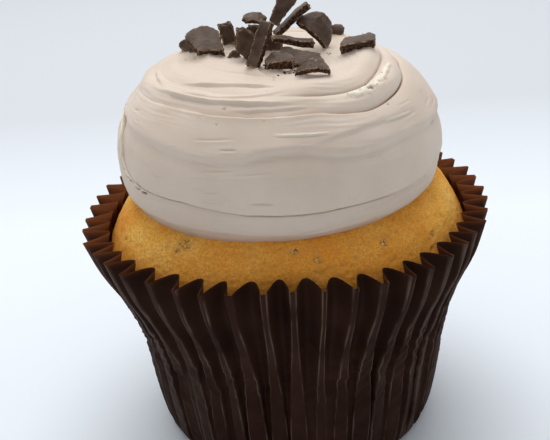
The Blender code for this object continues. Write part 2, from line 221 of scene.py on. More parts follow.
shape = bmesh.new()
bmesh.ops.create_circle(shape, cap_ends=True, radius=FLOOR_RADIUS, segments=96)
floor_mesh = bpy.data.meshes.new("floor")
shape.to_mesh(floor_mesh)
shape.free()
floor = bpy.data.objects.new("floor", floor_mesh)
bpy.context.scene.collection.objects.link(floor)
floor_with_painted_shade, tree, shader = start_material("floor_with_painted_shade", Roughness=0.8)
spot = add_node(tree, "ShaderNodeTexCoord")
axes = add_node(tree, "ShaderNodeSeparateXYZ", {0: spot.outputs["Object"]})
first, last = FLOOR_SHADE_TONES[0][0], FLOOR_SHADE_TONES[-1][0]
back = add_node(tree, "ShaderNodeMapRange", {0: axes.outputs["Y"], 1: first, 2: last})
# Painted shade, darker towards the back
tone = add_node(tree, "ShaderNodeValToRGB", {0: back.outputs[0]},
                stops=[((far - first) / (last - first), colour) for far, colour in FLOOR_SHADE_TONES])
tree.links.new(tone.outputs[0], shader.inputs["Base Color"])
floor_mesh.materials.append(floor_with_painted_shade)

# %% Light
# Hex colours mean what a screen shows, so the plain view transform is used
bpy.context.scene.view_settings.view_transform = "Standard"

SKY = "#F4F5F8"
# How bright the sky is at the horizon in front, behind, and overhead
SKY_FRONT = 0.37
SKY_BEHIND = 0.92
SKY_OVERHEAD = 0.56
# How much of it comes from the left and from the right
SKY_SIDES = (1.1, 0.92)
LAMP_SIZE = 0.75
LAMP_PLACE = Vector((-0.04, 0.3, 0.82))
LAMP_POWER = 5.4

world = bpy.data.worlds.new("sky")
world.use_nodes = True
tree = world.node_tree
sky = tree.nodes["Background"]
sky.inputs["Color"].default_value = linear(SKY)
way_out = add_node(tree, "ShaderNodeTexCoord").outputs["Generated"]
axes = add_node(tree, "ShaderNodeSeparateXYZ", {0: way_out})
level = add_node(tree, "ShaderNodeMapRange",
                 {0: axes.outputs["Y"], 1: -1.0, 2: 1.0, 3: SKY_FRONT, 4: SKY_BEHIND})
raised = add_node(tree, "ShaderNodeMapRange", {0: axes.outputs["Z"], 1: 0.0, 2: 0.9},
                  interpolation_type="SMOOTHSTEP")
strength = add_node(tree, "ShaderNodeMix", {0: raised.outputs[0], 2: level.outputs[0],
                                            3: SKY_OVERHEAD}, data_type="FLOAT")
leftward = add_node(tree, "ShaderNodeMapRange",
                    {0: axes.outputs["X"], 1: -1.0, 2: 1.0, 3: SKY_SIDES[0], 4: SKY_SIDES[1]})
tilted = add_node(tree, "ShaderNodeMath", {0: strength.outputs[0], 1: leftward.outputs[0]},
                  operation="MULTIPLY")
tree.links.new(tilted.outputs[0], sky.inputs["Strength"])
bpy.context.scene.world = world

lamp_data = bpy.data.lights.new("window", "AREA")
lamp_data.size = LAMP_SIZE
lamp_data.energy = LAMP_POWER
lamp = bpy.data.objects.new("window", lamp_data)
lamp.location = LAMP_PLACE
towards = Vector((0.0, 0.0, 0.06)) - LAMP_PLACE
lamp.rotation_euler = towards.to_track_quat("-Z", "Y").to_euler()
bpy.context.scene.collection.objects.link(lamp)

# %% [markdown]
# The case is one round sheet of brown glassine, pressed between fluted cups until it pleats.
# Each outer ridge is a narrow flat strip between two sharp creases. Between the strips the
# paper folds in, deep at the rim and shallow at the foot, where the cake pressed it flat. It
# could be a star outline extruded and tapered, but the folds change all the way down, so the
# wall is worked out point by point from a few lines: the radius of the ridges, the depth of
# the folds and the width of the strips, each read by height.

# %% Shape of the case
FLUTES = 48
RIM_RADIUS = 40.0
BASE_RADIUS = 27.0
RIDGE_LINE = (
    (0.0, BASE_RADIUS), (1.2, BASE_RADIUS + 1.9), (4.0, BASE_RADIUS + 3.0), (12.0, 31.3),
    (23.0, 32.6), (33.0, 35.1), (42.0, 38.7), (RIM_HEIGHT, RIM_RADIUS + 0.3),
)
FOLD_DEPTH = (
    (0.0, 0.7), (4.0, 1.1), (12.0, 1.6), (23.0, 2.0), (36.0, 2.5), (42.0, 2.9), (45.6, 3.5),
    (RIM_HEIGHT, 5.0),
)
# Half the width of a flat strip, as a share of one flute
STRIP_LINE = ((0.0, 0.37), (10.0, 0.36), (18.0, 0.31), (26.0, 0.21), (34.0, 0.13), (42.0, 0.09),
              (RIM_HEIGHT, 0.10))
RIM_BULGES = ((0.0, 13.0, -1.7), (-58.0, 24.0, 2.0), (180.0, 70.0, -0.8))
BULGE_START = 18.0
BULGE_GROWTH = 1.5


def bulge(angles, heights):
    """How far the rim is pushed out at each angle, fading down the wall."""
    out = sum(far * bell(turn_from(angles, at), wide) for at, wide, far in RIM_BULGES)
    fade = np.clip((heights - BULGE_START) / (RIM_HEIGHT - BULGE_START), 0.0, 1.0)
    return out * fade ** BULGE_GROWTH


def fold_radius(angles, heights):
    return between(RIDGE_LINE, heights) - between(FOLD_DEPTH, heights) + bulge(angles, heights)


# %% [markdown]
# No two flutes are alike. A seeded draw turns each one a little, pushes it in or out, tilts its
# strip and makes its two edges wider or narrower. Low down some folds are pressed nearly flat,
# and two strips read as one. The paper was also squeezed as the cake rose, so each ridge has a
# small sideways kink near the middle of the wall, in a belt of short slanted crumples.

# %% Pleated wall
STRIP_SHARES = (0.3, 0.6, 0.88, 1.0)
WALL_SHARES = (0.07, 0.25, 0.5, 0.75)
WALL_ROWS = np.concatenate([
    (0.0, 0.3, 0.7, 1.2, 2.0, 3.0, 4.5), np.arange(6.0, 13.6, 0.9), np.arange(14.4, 35.0, 0.46),
    np.arange(35.6, 46.0, 0.8), (46.5, 47.2, 47.8, 48.2, RIM_HEIGHT),
])
FLUTE_UNEVEN = 0.45
FLUTE_TURN = 0.9
FLUTE_TILT = 0.5
EDGE_UNEVEN = (0.55, 1.3)
FOLD_KEPT = (0.3, 1.25)
FOLD_ROUND = 0.8
KINK_HEIGHTS = (19.0, 30.0)
LOW_KINK_HEIGHTS = (8.0, 19.0)
KINK_MOST = 0.4
KINK_REACH = 1.3
WOBBLE = 0.16
WOBBLE_LENGTH = 3.6
CRUMPLE = 0.6
CRUMPLE_SIZE = 1.7
# Crumples lean: degrees round the case for each millimetre up
CRUMPLE_LEAN = 1.5
CRUMPLE_BELT = (24.5, 8.0)
GLASSINE = 0.15

draw = random.Random(FLUTES)
draws = np.array([(draw.uniform(-1.0, 1.0), draw.uniform(-1.0, 1.0)) for _ in range(FLUTES)])
draw = random.Random("flutes")


def draw_each(low, high):
    return np.array([draw.uniform(low, high) for _ in range(FLUTES)])


left_wide, right_wide = draw_each(*EDGE_UNEVEN), draw_each(*EDGE_UNEVEN)
tilt = draw_each(-FLUTE_TILT, FLUTE_TILT)
kept = draw_each(*FOLD_KEPT)
kink_at, low_kink_at = draw_each(*KINK_HEIGHTS), draw_each(*LOW_KINK_HEIGHTS)
kink_size = draw_each(-1.0, 1.0) ** 3 * KINK_MOST

# Columns of one flute, from just after the fold on its left to the fold on its right
flat = [-s for s in reversed(STRIP_SHARES)] + [0.0] + list(STRIP_SHARES)
flute_wall = np.array([-s for s in reversed(WALL_SHARES)] + [0.0] * len(flat)
                      + list(WALL_SHARES) + [1.0])
flute_strip = np.array([0.0] * len(WALL_SHARES) + flat + [0.0] * (len(WALL_SHARES) + 1))
on_wall = flute_wall != 0.0

height = WALL_ROWS[:, None, None]
flute = np.arange(FLUTES)[None, :, None]
side = np.where(on_wall, np.sign(flute_wall), np.sign(flute_strip))
wide = np.where(side > 0, right_wide[flute], left_wide[flute])
half_strip = np.clip(between(STRIP_LINE, height) * wide, 0.04, 0.42)
away = np.where(on_wall, half_strip + (0.5 - half_strip) * np.abs(flute_wall),
                half_strip * np.abs(flute_strip))
fold = np.sin(np.pi / 2 * np.clip((away - half_strip) / (0.5 - half_strip), 0, 1)) ** FOLD_ROUND
neighbour = (flute + side).astype(int) % FLUTES
turned = draws[flute, 0] * (1 - away) + draws[neighbour, 0] * away
pushed = draws[flute, 1] * (1 - away) + draws[neighbour, 1] * away
strength = (height / RIM_HEIGHT) ** 2
angle = (flute + side * away) * 360.0 / FLUTES + turned * FLUTE_TURN * strength

kink = (height - kink_at[flute]) / KINK_REACH
low_kink = (height - low_kink_at[flute]) / KINK_REACH
sideways = kink_size[flute] * (2.3 * kink * np.exp(-kink ** 2) + 0.9 * low_kink * np.exp(-low_kink ** 2))
edge_spots = np.stack(np.broadcast_arrays((flute * 2 + (side > 0)) * 5.3, 0.0 * height,
                                          height / WOBBLE_LENGTH), axis=-1)
wobble = grain(edge_spots, 1.0, 14) * (0.3 + 0.7 * bell(height - CRUMPLE_BELT[0], CRUMPLE_BELT[1]))
sideways = sideways + WOBBLE * wobble * ease((height - 3.0) / 6.0) * ease((46.0 - height) / 8.0)
low_down = ease((32.0 - height) / 14.0) * ease((height - 1.0) / 5.0)
fold_kept = kept[np.where(side < 0, (flute - 1) % FLUTES, flute)]
depth = between(FOLD_DEPTH, height) * (1 + (fold_kept - 1) * low_down)
tilted = tilt[flute] * side * np.minimum(away / half_strip, 1.0) * (1 - fold) * low_down
radius = (between(RIDGE_LINE, height) + bulge(angle, height) - depth * fold + tilted
          - np.abs(tilt[flute]) * low_down * (1 - fold)
          + pushed * FLUTE_UNEVEN * strength * (1 - fold)
          - np.abs(kink_size[flute]) * np.exp(-kink ** 2) * (1 - fold))
angle = angle + np.degrees(sideways / radius) * (1 - fold)
wall = polar(radius, angle, np.broadcast_to(height, radius.shape))
wall = wall.reshape(len(WALL_ROWS), -1, 3)
belt = bell(wall[..., 2] - CRUMPLE_BELT[0], CRUMPLE_BELT[1]) + 0.12
belt = belt * ease((wall[..., 2] - 3.0) / 8.0) * ease((45.0 - wall[..., 2]) / 8.0)
leaning = angle.reshape(len(WALL_ROWS), -1) - CRUMPLE_LEAN * wall[..., 2]
slanted = polar(between(RIDGE_LINE, wall[..., 2]), leaning, 0.3 * wall[..., 2])
crumple = 0.22 - np.abs(grain(slanted, CRUMPLE_SIZE, 1)) + 0.3 * grain(wall, 2.6, 2)
outwards = wall * (1.0, 1.0, 0.0) / np.hypot(wall[..., 0], wall[..., 1])[..., None]
wall = wall + outwards * (crumple * CRUMPLE * belt)[..., None]

# %% [markdown]
# The foot of the case is the flat middle of the same sheet. The pleats run a little way in
# under it and fade. The wall is then thickened inwards, and the inner side takes the second
# material, a lighter and redder brown: painted light, standing in for the light that comes
# through the paper.

# %% Foot of the case and its thickness
FOOT_SHARES = (0.35, 0.6, 0.8, 0.93)
# The cake backs the paper up to this height, and higher at the front, where it leans on it: the
# angle of that side, the height, how much higher, and how wide the leaning part is
CAKE_LEANS = (8.0, 43.5, 4.6, 90.0)
foot = [wall[0] * (share, share, 1.0) for share in FOOT_SHARES]
case_rows = np.concatenate([foot, wall])
case_mesh = ring_mesh("glassine_case", case_rows, low_pole=(0.0, 0.0, 0.0))
# Where the creases are, which the paper's material paints paler: broken fibres and a painted highlight
crease = bell(away - half_strip, 0.015) * np.ones_like(radius)
at_foot = np.zeros((len(foot), wall.shape[1]))
mark(case_mesh, "crease", np.concatenate([at_foot, crease.reshape(len(WALL_ROWS), -1)]))
turned_away = turn_from(angle, CAKE_LEANS[0]).reshape(len(WALL_ROWS), -1)
backed = CAKE_LEANS[1] + CAKE_LEANS[2] * bell(turned_away, CAKE_LEANS[3])
mark(case_mesh, "free", np.concatenate([at_foot, ease((wall[..., 2] - backed) / 3.0)]))

# %% [markdown]
# Glassine is paper beaten and rolled until it is dense and a little glossy. Here it is dyed a
# brown that is nearly black. Along a sharp crease it is painted paler: partly the broken
# fibres, and partly a painted highlight where the crease catches the light.
# Some light comes through it, as through a leaf, so the rim, which has no cake behind it, looks
# a warm red-brown. The shader for that is a translucent one, mixed into the plain one.

# %% Glassine, outside and inside
# Dark and light of the dye, then the crease colour: paler broken fibres and a painted highlight
GLASSINE_OUTSIDE = ("#27150F", "#3A251C", "#6A564C")
# The inside is lighter and redder: painted light, for the light that comes through the paper
GLASSINE_INSIDE = ("#45291A", "#67412C", "#8A6248")
GLASSINE_CLOUD = 9.0
# Colour of the light that comes through one skin of the paper, and how much of it does
GLASSINE_GLOW = "#E8B48C"
GLASSINE_THROUGH = 0.45
FIBRE = 0.35
# Small dents of the squeezed part: how wide, how deep, and the heights they fade between
DENTS = 2.4
DENT_DEPTH = 0.2
DENT_HEIGHTS = (37.0, 29.0)


def glassine(name, dark, light, wear_and_highlight):
    """Dyed paper: soft clouds in the dye, fine fibres, and creases painted pale for broken fibres and a
    painted highlight.
    """
    material, tree, shader = start_material(name, Roughness=0.55)
    shader.inputs["Specular IOR Level"].default_value = 0.05
    shader.inputs["Specular Tint"].default_value = linear("#FFE4D6")
    spot = add_node(tree, "ShaderNodeTexCoord").outputs["Object"]
    cloud = add_node(tree, "ShaderNodeTexNoise",
                     {"Vector": spot, "Scale": 1 / (GLASSINE_CLOUD * MM), "Detail": 5.0})
    dye = add_node(tree, "ShaderNodeValToRGB", {0: cloud.outputs[0]},
                   stops=((0.3, dark), (0.75, light)))
    crease = add_node(tree, "ShaderNodeAttribute", attribute_name="crease")
    scuff = add_node(tree, "ShaderNodeTexNoise", {"Vector": spot, "Scale": 1 / (7.0 * MM)})
    uneven = add_node(tree, "ShaderNodeMapRange", {0: scuff.outputs[0], 1: 0.4, 2: 0.62, 3: 0.05})
    broken = add_node(tree, "ShaderNodeMath", {0: crease.outputs["Fac"], 1: uneven.outputs[0]},
                      operation="MULTIPLY")
    # Paler along the creases: broken fibres, and a painted highlight where a crease catches light
    colour = add_node(tree, "ShaderNodeMix", {0: broken.outputs[0], 6: dye.outputs[0],
                                              7: linear(wear_and_highlight)}, data_type="RGBA")
    fibre = add_node(tree, "ShaderNodeTexNoise",
                     {"Vector": spot, "Scale": 1 / (FIBRE * MM), "Detail": 3.0})
    bump = add_node(tree, "ShaderNodeBump", {"Height": fibre.outputs[0], "Distance": 0.04 * MM,
                                             "Strength": 0.6})
    cells = add_node(tree, "ShaderNodeTexVoronoi", {"Vector": spot, "Scale": 1 / (DENTS * MM)})
    axes = add_node(tree, "ShaderNodeSeparateXYZ", {0: spot})
    squeezed = add_node(tree, "ShaderNodeMapRange", {0: axes.outputs["Z"], 1: DENT_HEIGHTS[0] * MM,
                                                     2: DENT_HEIGHTS[1] * MM})
    dents = add_node(tree, "ShaderNodeBump", {"Height": cells.outputs["Distance"],
                                              "Distance": DENT_DEPTH * MM,
                                              "Strength": squeezed.outputs[0],
                                              "Normal": bump.outputs[0]})
    tree.links.new(colour.outputs[2], shader.inputs["Base Color"])
    tree.links.new(dents.outputs[0], shader.inputs["Normal"])
    glow = add_node(tree, "ShaderNodeBsdfTranslucent", {"Color": linear(GLASSINE_GLOW)})
    free = add_node(tree, "ShaderNodeAttribute", attribute_name="free")
    through = add_node(tree, "ShaderNodeMath", {0: free.outputs["Fac"], 1: GLASSINE_THROUGH},
                       operation="MULTIPLY")
    paper = add_node(tree, "ShaderNodeMixShader", {0: through.outputs[0], 1: shader.outputs[0],
                                                   2: glow.outputs[0]})
    tree.links.new(paper.outputs[0], tree.nodes["Material Output"].inputs["Surface"])
    return material


glassine_outside = glassine("glassine_outside", *GLASSINE_OUTSIDE)
glassine_inside = glassine("glassine_inside", *GLASSINE_INSIDE)
case = place_piece("glassine_case", case_mesh, glassine_outside, "paper", "paper_case")
case_mesh.materials.append(glassine_inside)
thicken = case.modifiers.new("paper thickness", "SOLIDIFY")
thicken.thickness = GLASSINE * MM
thicken.offset = -1.0
thicken.material_offset = 1

# %% [markdown]
# The cake is a yellow butter sponge. It rose until it filled the folds of the case and domed
# over the top, where the oven set a thin golden crust. The crust is dense with tiny pores, and
# in a few places it tore open and shows paler crumb. The shape is turned, like a pot, with its
# wall following the folds of the paper, and the pores are pressed in afterwards.

# %% Shape of the cake
CAKE_SHOULDER = 44.5
CAKE_TOP = 59.8
CAKE_FLOOR = 0.85
DOME_LINE = (
    (0.0, 1.0), (0.28, 0.96), (0.55, 0.84), (0.74, 0.69), (0.85, 0.545), (0.91, 0.40),
    (0.96, 0.20), (1.0, 0.0),
)
PAPER_GAP = 0.55
CAKE_COLUMNS = 560


def cake_radius(angles, heights):
    return fold_radius(angles, heights) - PAPER_GAP


SHOULDER_RADIUS = float(cake_radius(90.0, CAKE_SHOULDER))


def dome_height(share):
    """Height of the crust at a share of the way out from the middle to the shoulder."""
    return CAKE_SHOULDER + (CAKE_TOP - CAKE_SHOULDER) * between(DOME_LINE, share)


cake_angles = np.arange(CAKE_COLUMNS) * 360.0 / CAKE_COLUMNS
side_heights = np.array((CAKE_FLOOR, 2.0, 4.5, 15.0, 27.0, 37.0, 41.0, 42.5, 43.5, 44.0))
side_rows = [polar(cake_radius(cake_angles, h), cake_angles, h) for h in side_heights]
shares = np.concatenate([1.0 - 0.04 * ease(np.linspace(0, 1, 14)) ** 0.8,
                         np.linspace(0.958, 0.80, 56)[1:], (0.74, 0.6, 0.4, 0.2)])
dome_rows = []
for share in shares:
    follow = ease((share - 0.86) / 0.14)
    folded_in = cake_radius(cake_angles, CAKE_SHOULDER) - SHOULDER_RADIUS
    ring_radius = share * (SHOULDER_RADIUS + follow * folded_in)
    dome_rows.append(polar(ring_radius, cake_angles, dome_height(share)))
cake_rows = np.array(side_rows + dome_rows)

# %% [markdown]
# Pores are small round dents at seeded random places, thickest where the crust is thin. Torn
# spots are wider, with a rough bottom. Each dent also writes how open the crust is there, so
# that the material can show paler crumb inside a tear and shadow inside a pore.

# %% Pores and tears in the crust
PORES = 900
PORE_SIZES = (0.16, 0.42)
# Angle, height above the base and radius of each torn spot
TEARS = (
    (-36.4, 51.9, 1.5), (-38.5, 50.6, 1.0), (1.0, 52.2, 0.9), (8.2, 50.6, 0.8),
    (31.8, 51.4, 1.1), (52.0, 48.9, 0.7), (-64.0, 48.4, 0.7), (118.0, 50.6, 1.3),
    (166.0, 51.8, 1.0), (214.0, 49.8, 1.5), (257.0, 51.3, 0.9),
)
DIMPLE = (64.7, 53.0, 2.2)

cake_flat = cake_rows.reshape(-1, 3)
normal_out = cake_flat * (1.0, 1.0, 0.0) / np.hypot(cake_flat[:, 0], cake_flat[:, 1])[:, None]
normal_out[:, 2] = np.clip((cake_flat[:, 2] - 42.0) / 8.0, 0.0, 1.6)
normal_out /= np.linalg.norm(normal_out, axis=1)[:, None]
shows = ease((cake_flat[:, 2] - 38.0) / 4.0)
crumb_relief = (grain(cake_flat, 5.0, 3) * 0.2 + grain(cake_flat, 1.6, 4) * 0.09
                + grain(cake_flat, 0.7, 5) * 0.08)
opened = np.zeros(len(cake_flat))
draw = random.Random("pores")


def crust_point(at_angle, at_height):
    """The point of the dome at this angle and height."""
    column = int(round(at_angle / 360.0 * CAKE_COLUMNS)) % CAKE_COLUMNS
    rows = cake_rows[:, column]
    return rows[np.abs(rows[:, 2] - at_height).argmin()]


def dent(middle, size, depth):
    """Press a round dent and return how deep each point is in it, from 0 to 1."""
    near = np.linalg.norm(cake_flat - middle, axis=1) / size
    return np.where(near < 2.0, np.exp(-near ** 2), 0.0) * depth


for _ in range(PORES):
    size = draw.uniform(*PORE_SIZES)
    middle = crust_point(draw.uniform(0.0, 360.0), 44.5 + 9.5 * draw.random() ** 0.8)
    hole = dent(middle, size, 1.0)
    crumb_relief -= hole * size * 0.55
    opened = np.maximum(opened, hole * draw.choice((0.2, 0.3, 0.3, 0.3, 0.6)))
rough = grain(cake_flat, 0.8, 6) + 0.5 * grain(cake_flat, 0.4, 7)
for at_angle, at_height, size in TEARS:
    hole = dent(crust_point(at_angle, at_height), size, 1.0)
    hole = ease(hole * (1.1 + 1.3 * rough) - 0.1)
    crumb_relief -= hole * 0.38
    opened = np.maximum(opened, hole)
crumb_relief -= dent(crust_point(DIMPLE[0], DIMPLE[1]), DIMPLE[2], 0.6)
cake_flat = cake_flat + normal_out * (crumb_relief * shows)[:, None]
cake_rows = cake_flat.reshape(cake_rows.shape)
cake_mesh = ring_mesh("butter_sponge", cake_rows, (0.0, 0.0, CAKE_FLOOR), (0.0, 0.0, CAKE_TOP))
mark(cake_mesh, "opened", opened)
print("torn spots:", len(TEARS), "pores:", PORES)

# %% [markdown]
# A sponge's crust browns where its sugar and egg get hottest. It is gold, with deeper amber
# speckles a millimetre or two across. It is painted more amber at the front, as painted shade
# under the frosting, and low beside the paper, as painted warm light given back by the paper,
# so it is palest where the dome is highest. Light goes a little way in, so the shader has some
# subsurface scattering, and there is hardly any gloss.

# %% Baked crust
SPECKLE = 0.4
PATCH = 9.0
# Painted shade and painted bounce light: the crust is painted more amber at the front, as shade
# under the frosting, from one place to another on the way back, and more amber down beside the
# paper, as warm light given back by it, from one height up to another
FRONT_SHADE_REACH = (-36.0, -18.0)
PAPER_BOUNCE_REACH = (45.0, 50.0)

baked_crust, tree, shader = start_material("baked_crust", Roughness=0.78)
shader.inputs["Specular IOR Level"].default_value = 0.25
shader.inputs["Subsurface Weight"].default_value = 0.08
shader.inputs["Subsurface Radius"].default_value = (1.0, 0.45, 0.15)
shader.inputs["Subsurface Scale"].default_value = 1.2 * MM
spot = add_node(tree, "ShaderNodeTexCoord").outputs["Object"]
patch = add_node(tree, "ShaderNodeTexNoise",
                 {"Vector": spot, "Scale": 1 / (PATCH * MM), "Detail": 4.0})
gold = add_node(tree, "ShaderNodeValToRGB", {0: patch.outputs[0]},
                stops=((0.32, "#F2A63A"), (0.5, "#FEC152"), (0.7, "#FFD873")))
speckle = add_node(tree, "ShaderNodeTexNoise",
                   {"Vector": spot, "Scale": 1 / (SPECKLE * MM), "Detail": 6.0, "Roughness": 0.7})
speckle_share = add_node(tree, "ShaderNodeMapRange",
                         {0: speckle.outputs[0], 1: 0.42, 2: 0.62, 3: 0.0, 4: 0.7})
axes = add_node(tree, "ShaderNodeSeparateXYZ", {0: spot})
front = add_node(tree, "ShaderNodeMapRange", {0: axes.outputs["Y"], 1: FRONT_SHADE_REACH[0] * MM,
                                              2: FRONT_SHADE_REACH[1] * MM, 3: 0.8, 4: 0.0})
beside = add_node(tree, "ShaderNodeMapRange", {0: axes.outputs["Z"], 1: PAPER_BOUNCE_REACH[0] * MM,
                                               2: PAPER_BOUNCE_REACH[1] * MM, 3: 0.9, 4: 0.0})
painted_shade_and_bounce = add_node(tree, "ShaderNodeMath", {0: front.outputs[0], 1: beside.outputs[0]},
                   operation="MAXIMUM")
# Painted shade at the front and painted bounce light beside the paper, in one amber
amber = add_node(tree, "ShaderNodeMix", {0: painted_shade_and_bounce.outputs[0], 6: gold.outputs[0],
                                         7: linear("#EE9830")}, data_type="RGBA")
speckled = add_node(tree, "ShaderNodeMix", {0: speckle_share.outputs[0], 6: amber.outputs[2],
                                            7: linear("#CC7A24")}, data_type="RGBA")
opened_here = add_node(tree, "ShaderNodeAttribute", attribute_name="opened")
crumb = add_node(tree, "ShaderNodeValToRGB", {0: speckle.outputs[0]},
                 stops=((0.37, "#683A0E"), (0.48, "#AC6A1C"), (0.58, "#F4D084")))
crust = add_node(tree, "ShaderNodeMix", {0: opened_here.outputs["Fac"], 6: speckled.outputs[2],
                                         7: crumb.outputs[0]}, data_type="RGBA")
bump = add_node(tree, "ShaderNodeBump", {"Height": speckle.outputs[0], "Distance": 0.18 * MM,
                                         "Strength": 0.9})
tree.links.new(crust.outputs[2], shader.inputs["Base Color"])
tree.links.new(bump.outputs[0], shader.inputs["Normal"])
place_piece("butter_sponge", cake_mesh, baked_crust, "cake", "cake")

# %% [markdown]
# The frosting is whipped buttercream with a little cocoa, put on with a palette knife while the
# cake was turned. Each turn of the knife left a layer that laps over the one before, so the
# layers end in long creases. Sculpting would be the usual way; here the outside is one turned
# profile, and every crease, streak and slit is added as a small height along its normal, which
# keeps each mark a named line that can be moved.

# %% Profile of the frosting
FROSTING_RADIUS = 31.6
FROSTING_TOP = 78.4
FROSTING_SHIFT = -1.2
FROSTING_LINE = (
    (29.6, 54.3), (30.9, 55.6), (31.4, 58.5), (FROSTING_RADIUS, 62.0), (31.1, 65.8),
    (29.6, 69.8), (27.2, 73.3), (23.6, 76.2), (18.5, 77.8), (11.0, FROSTING_TOP),
    (4.0, 78.3), (0.0, 78.2),
)
PROFILE_SAMPLES = 1200

knots = np.arange(len(FROSTING_LINE), dtype=float)
steps = np.linspace(0.0, knots[-1], PROFILE_SAMPLES)
profile_radius = between(list(zip(knots, [p[0] for p in FROSTING_LINE])), steps)
profile_height = between(list(zip(knots, [p[1] for p in FROSTING_LINE])), steps)
lengths = np.hypot(np.diff(profile_radius), np.diff(profile_height))
profile_way = np.concatenate([[0.0], np.cumsum(lengths)])
FULL_WAY = profile_way[-1]
highest = int(profile_height.argmax())
widest = int(profile_radius.argmax())


def way_at_height(heights):
    """The way up the profile to a height on the side of the frosting."""
    return np.interp(heights, profile_height[:highest], profile_way[:highest])


def way_at_radius(radii):
    """The way up the profile to a radius on its top."""
    return np.interp(radii, profile_radius[:widest:-1], profile_way[:widest:-1])


# %% [markdown]
# Three creases are drawn as lines of angle and place: one low on the side, one round the
# shoulder that winds inwards, and one on the top. Softer lines are the streaks of the knife.
# All of them go right round where the photo shows them fading out of sight.

# %% Lines of the knife
LOWER_CREASE = (
    (-180.0, 66.5), (-120.0, 69.0), (-90.0, 70.2), (-79.0, 69.6), (-74.0, 68.2), (-70.5, 66.0),
    (-68.0, 63.8), (-65.5, 62.4), (-62.0, 61.5), (-56.0, 60.9), (-50.0, 60.6), (-44.0, 60.6),
    (-30.0, 60.5), (-14.0, 59.7), (6.0, 59.3), (29.0, 59.4), (50.0, 59.5), (67.0, 60.1),
    (90.0, 61.4), (120.0, 63.3), (180.0, 66.5),
)
SHOULDER_CREASE = (
    (-110.0, 27.4), (-90.0, 26.7), (-71.0, 25.9), (-52.0, 25.7), (-40.0, 25.5), (-17.0, 25.7),
    (0.0, 25.7), (13.0, 25.7), (27.0, 26.4), (36.0, 26.7), (51.0, 26.2), (68.0, 25.2), (83.0, 23.6),
    (120.0, 22.6), (180.0, 21.7), (250.0, 21.4), (310.0, 21.5), (370.0, 21.3),
)
INNER_CREASE = (
    (-8.0, 21.8), (2.0, 22.2), (15.0, 22.4), (29.0, 22.8), (42.0, 22.6), (50.0, 21.9), (61.0, 21.0),
    (73.0, 20.4), (100.0, 19.6), (150.0, 18.2), (210.0, 16.6), (270.0, 15.0), (330.0, 12.8),
    (360.0, 14.6), (375.0, 17.4),
)
WAIST = (
    (-180.0, 67.8), (-110.0, 69.4), (-72.0, 69.9), (-54.0, 69.4), (-41.0, 69.0), (-26.0, 68.5),
    (-18.6, 68.6), (-11.0, 68.9), (-6.7, 69.5), (0.6, 70.0), (7.0, 70.0), (13.0, 69.3), (19.5, 68.5),
    (26.0, 68.2), (41.0, 68.6), (70.0, 67.8), (120.0, 67.2), (180.0, 67.8),
)
SIDE_FOLD = ((8.0, 70.2), (21.0, 71.2), (35.0, 71.8), (52.6, 71.6), (64.0, 71.5))
HEM_FOLD = ((8.0, 57.8), (31.0, 57.9), (48.0, 58.3), (65.0, 58.0), (96.0, 58.2), (130.0, 58.6))
SHOULDER_LIP = (
    (-72.0, 26.0), (-52.0, 25.7), (-40.0, 25.5), (-17.0, 25.7), (0.0, 25.7),
    (13.0, 25.7), (27.0, 26.4), (36.0, 26.7), (50.0, 26.2),
)
TOP_LIP = ((-42.0, 10.6), (-20.0, 11.2), (-9.0, 13.0), (1.0, 16.0), (12.0, 17.5), (40.0, 18.6))
# Edges the knife left on the top: line of angle and radius, and how high each one stands
KNIFE_EDGES = (
    (((-112.0, 22.6), (-90.0, 22.4), (-75.0, 22.5), (-60.0, 23.0), (-50.0, 23.4)), 0.24),
    (((-70.0, 24.4), (-45.0, 23.7), (-32.0, 23.6), (-17.0, 23.5), (-5.0, 23.6), (14.0, 23.9)), 0.34),
    (((-54.0, 21.2), (-33.0, 19.8), (-24.0, 19.3), (-13.0, 19.0), (6.0, 19.7)), 0.32),
    (((-52.0, 23.0), (-40.7, 22.8), (-28.0, 22.6), (-15.8, 22.2), (-5.5, 21.8), (8.0, 20.9)), 0.14),
    (((-20.0, 24.8), (-2.0, 24.6), (14.0, 24.6)), 0.16),
    (((-44.0, 18.2), (-26.0, 17.6), (-6.0, 17.4)), 0.12),
    (((96.0, 26.6), (130.0, 25.8), (170.0, 24.6), (220.0, 24.2)), 0.2),
    (((130.0, 20.6), (180.0, 19.6), (240.0, 19.0)), 0.24),
    (((200.0, 26.4), (245.0, 25.8), (290.0, 25.6)), 0.22),
    (((150.0, 14.0), (210.0, 12.6), (260.0, 11.8)), 0.2),
)
# Slits and threads on the side: first angle and height, last angle and height, and how high
SLITS = (
    (-19.1, 70.2, -13.3, 70.3, -0.26), (-9.5, 61.8, -2.3, 61.7, -0.3),
    (-24.3, 63.1, -18.9, 63.4, -0.18), (6.2, 55.3, 17.2, 55.9, -0.24),
    (-45.0, 64.3, -41.0, 64.0, -0.15), (-26.0, 66.6, -12.0, 67.3, -0.18),
    (-29.0, 71.3, -15.0, 71.9, -0.12),
    (-14.0, 66.4, -3.0, 66.9, -0.14), (-30.0, 65.2, -22.0, 65.6, -0.12),
    (-1.0, 72.4, 17.5, 71.9, 0.24), (40.0, 71.7, 54.5, 71.3, 0.26),
    (-51.0, 57.2, -47.0, 57.6, -0.12),
)

# %% [markdown]
# The grid of the frosting has its rows set closer together beside the two long creases, so that
# each crease is a crisp step and not a blur. A crease is a lip above the line, a dip below it
# and a thin groove between them.

# %% Grid of the frosting
FROSTING_COLUMNS = 540
BAND_ROWS = 20
SIDE_ROWS = 92
TOP_ROWS = 120
HUG = np.array((-1.3, -1.15, -1.0, -0.85, -0.7, -0.56, -0.43, -0.3, -0.18, -0.08, 0.0, 0.1, 0.24, 0.45))

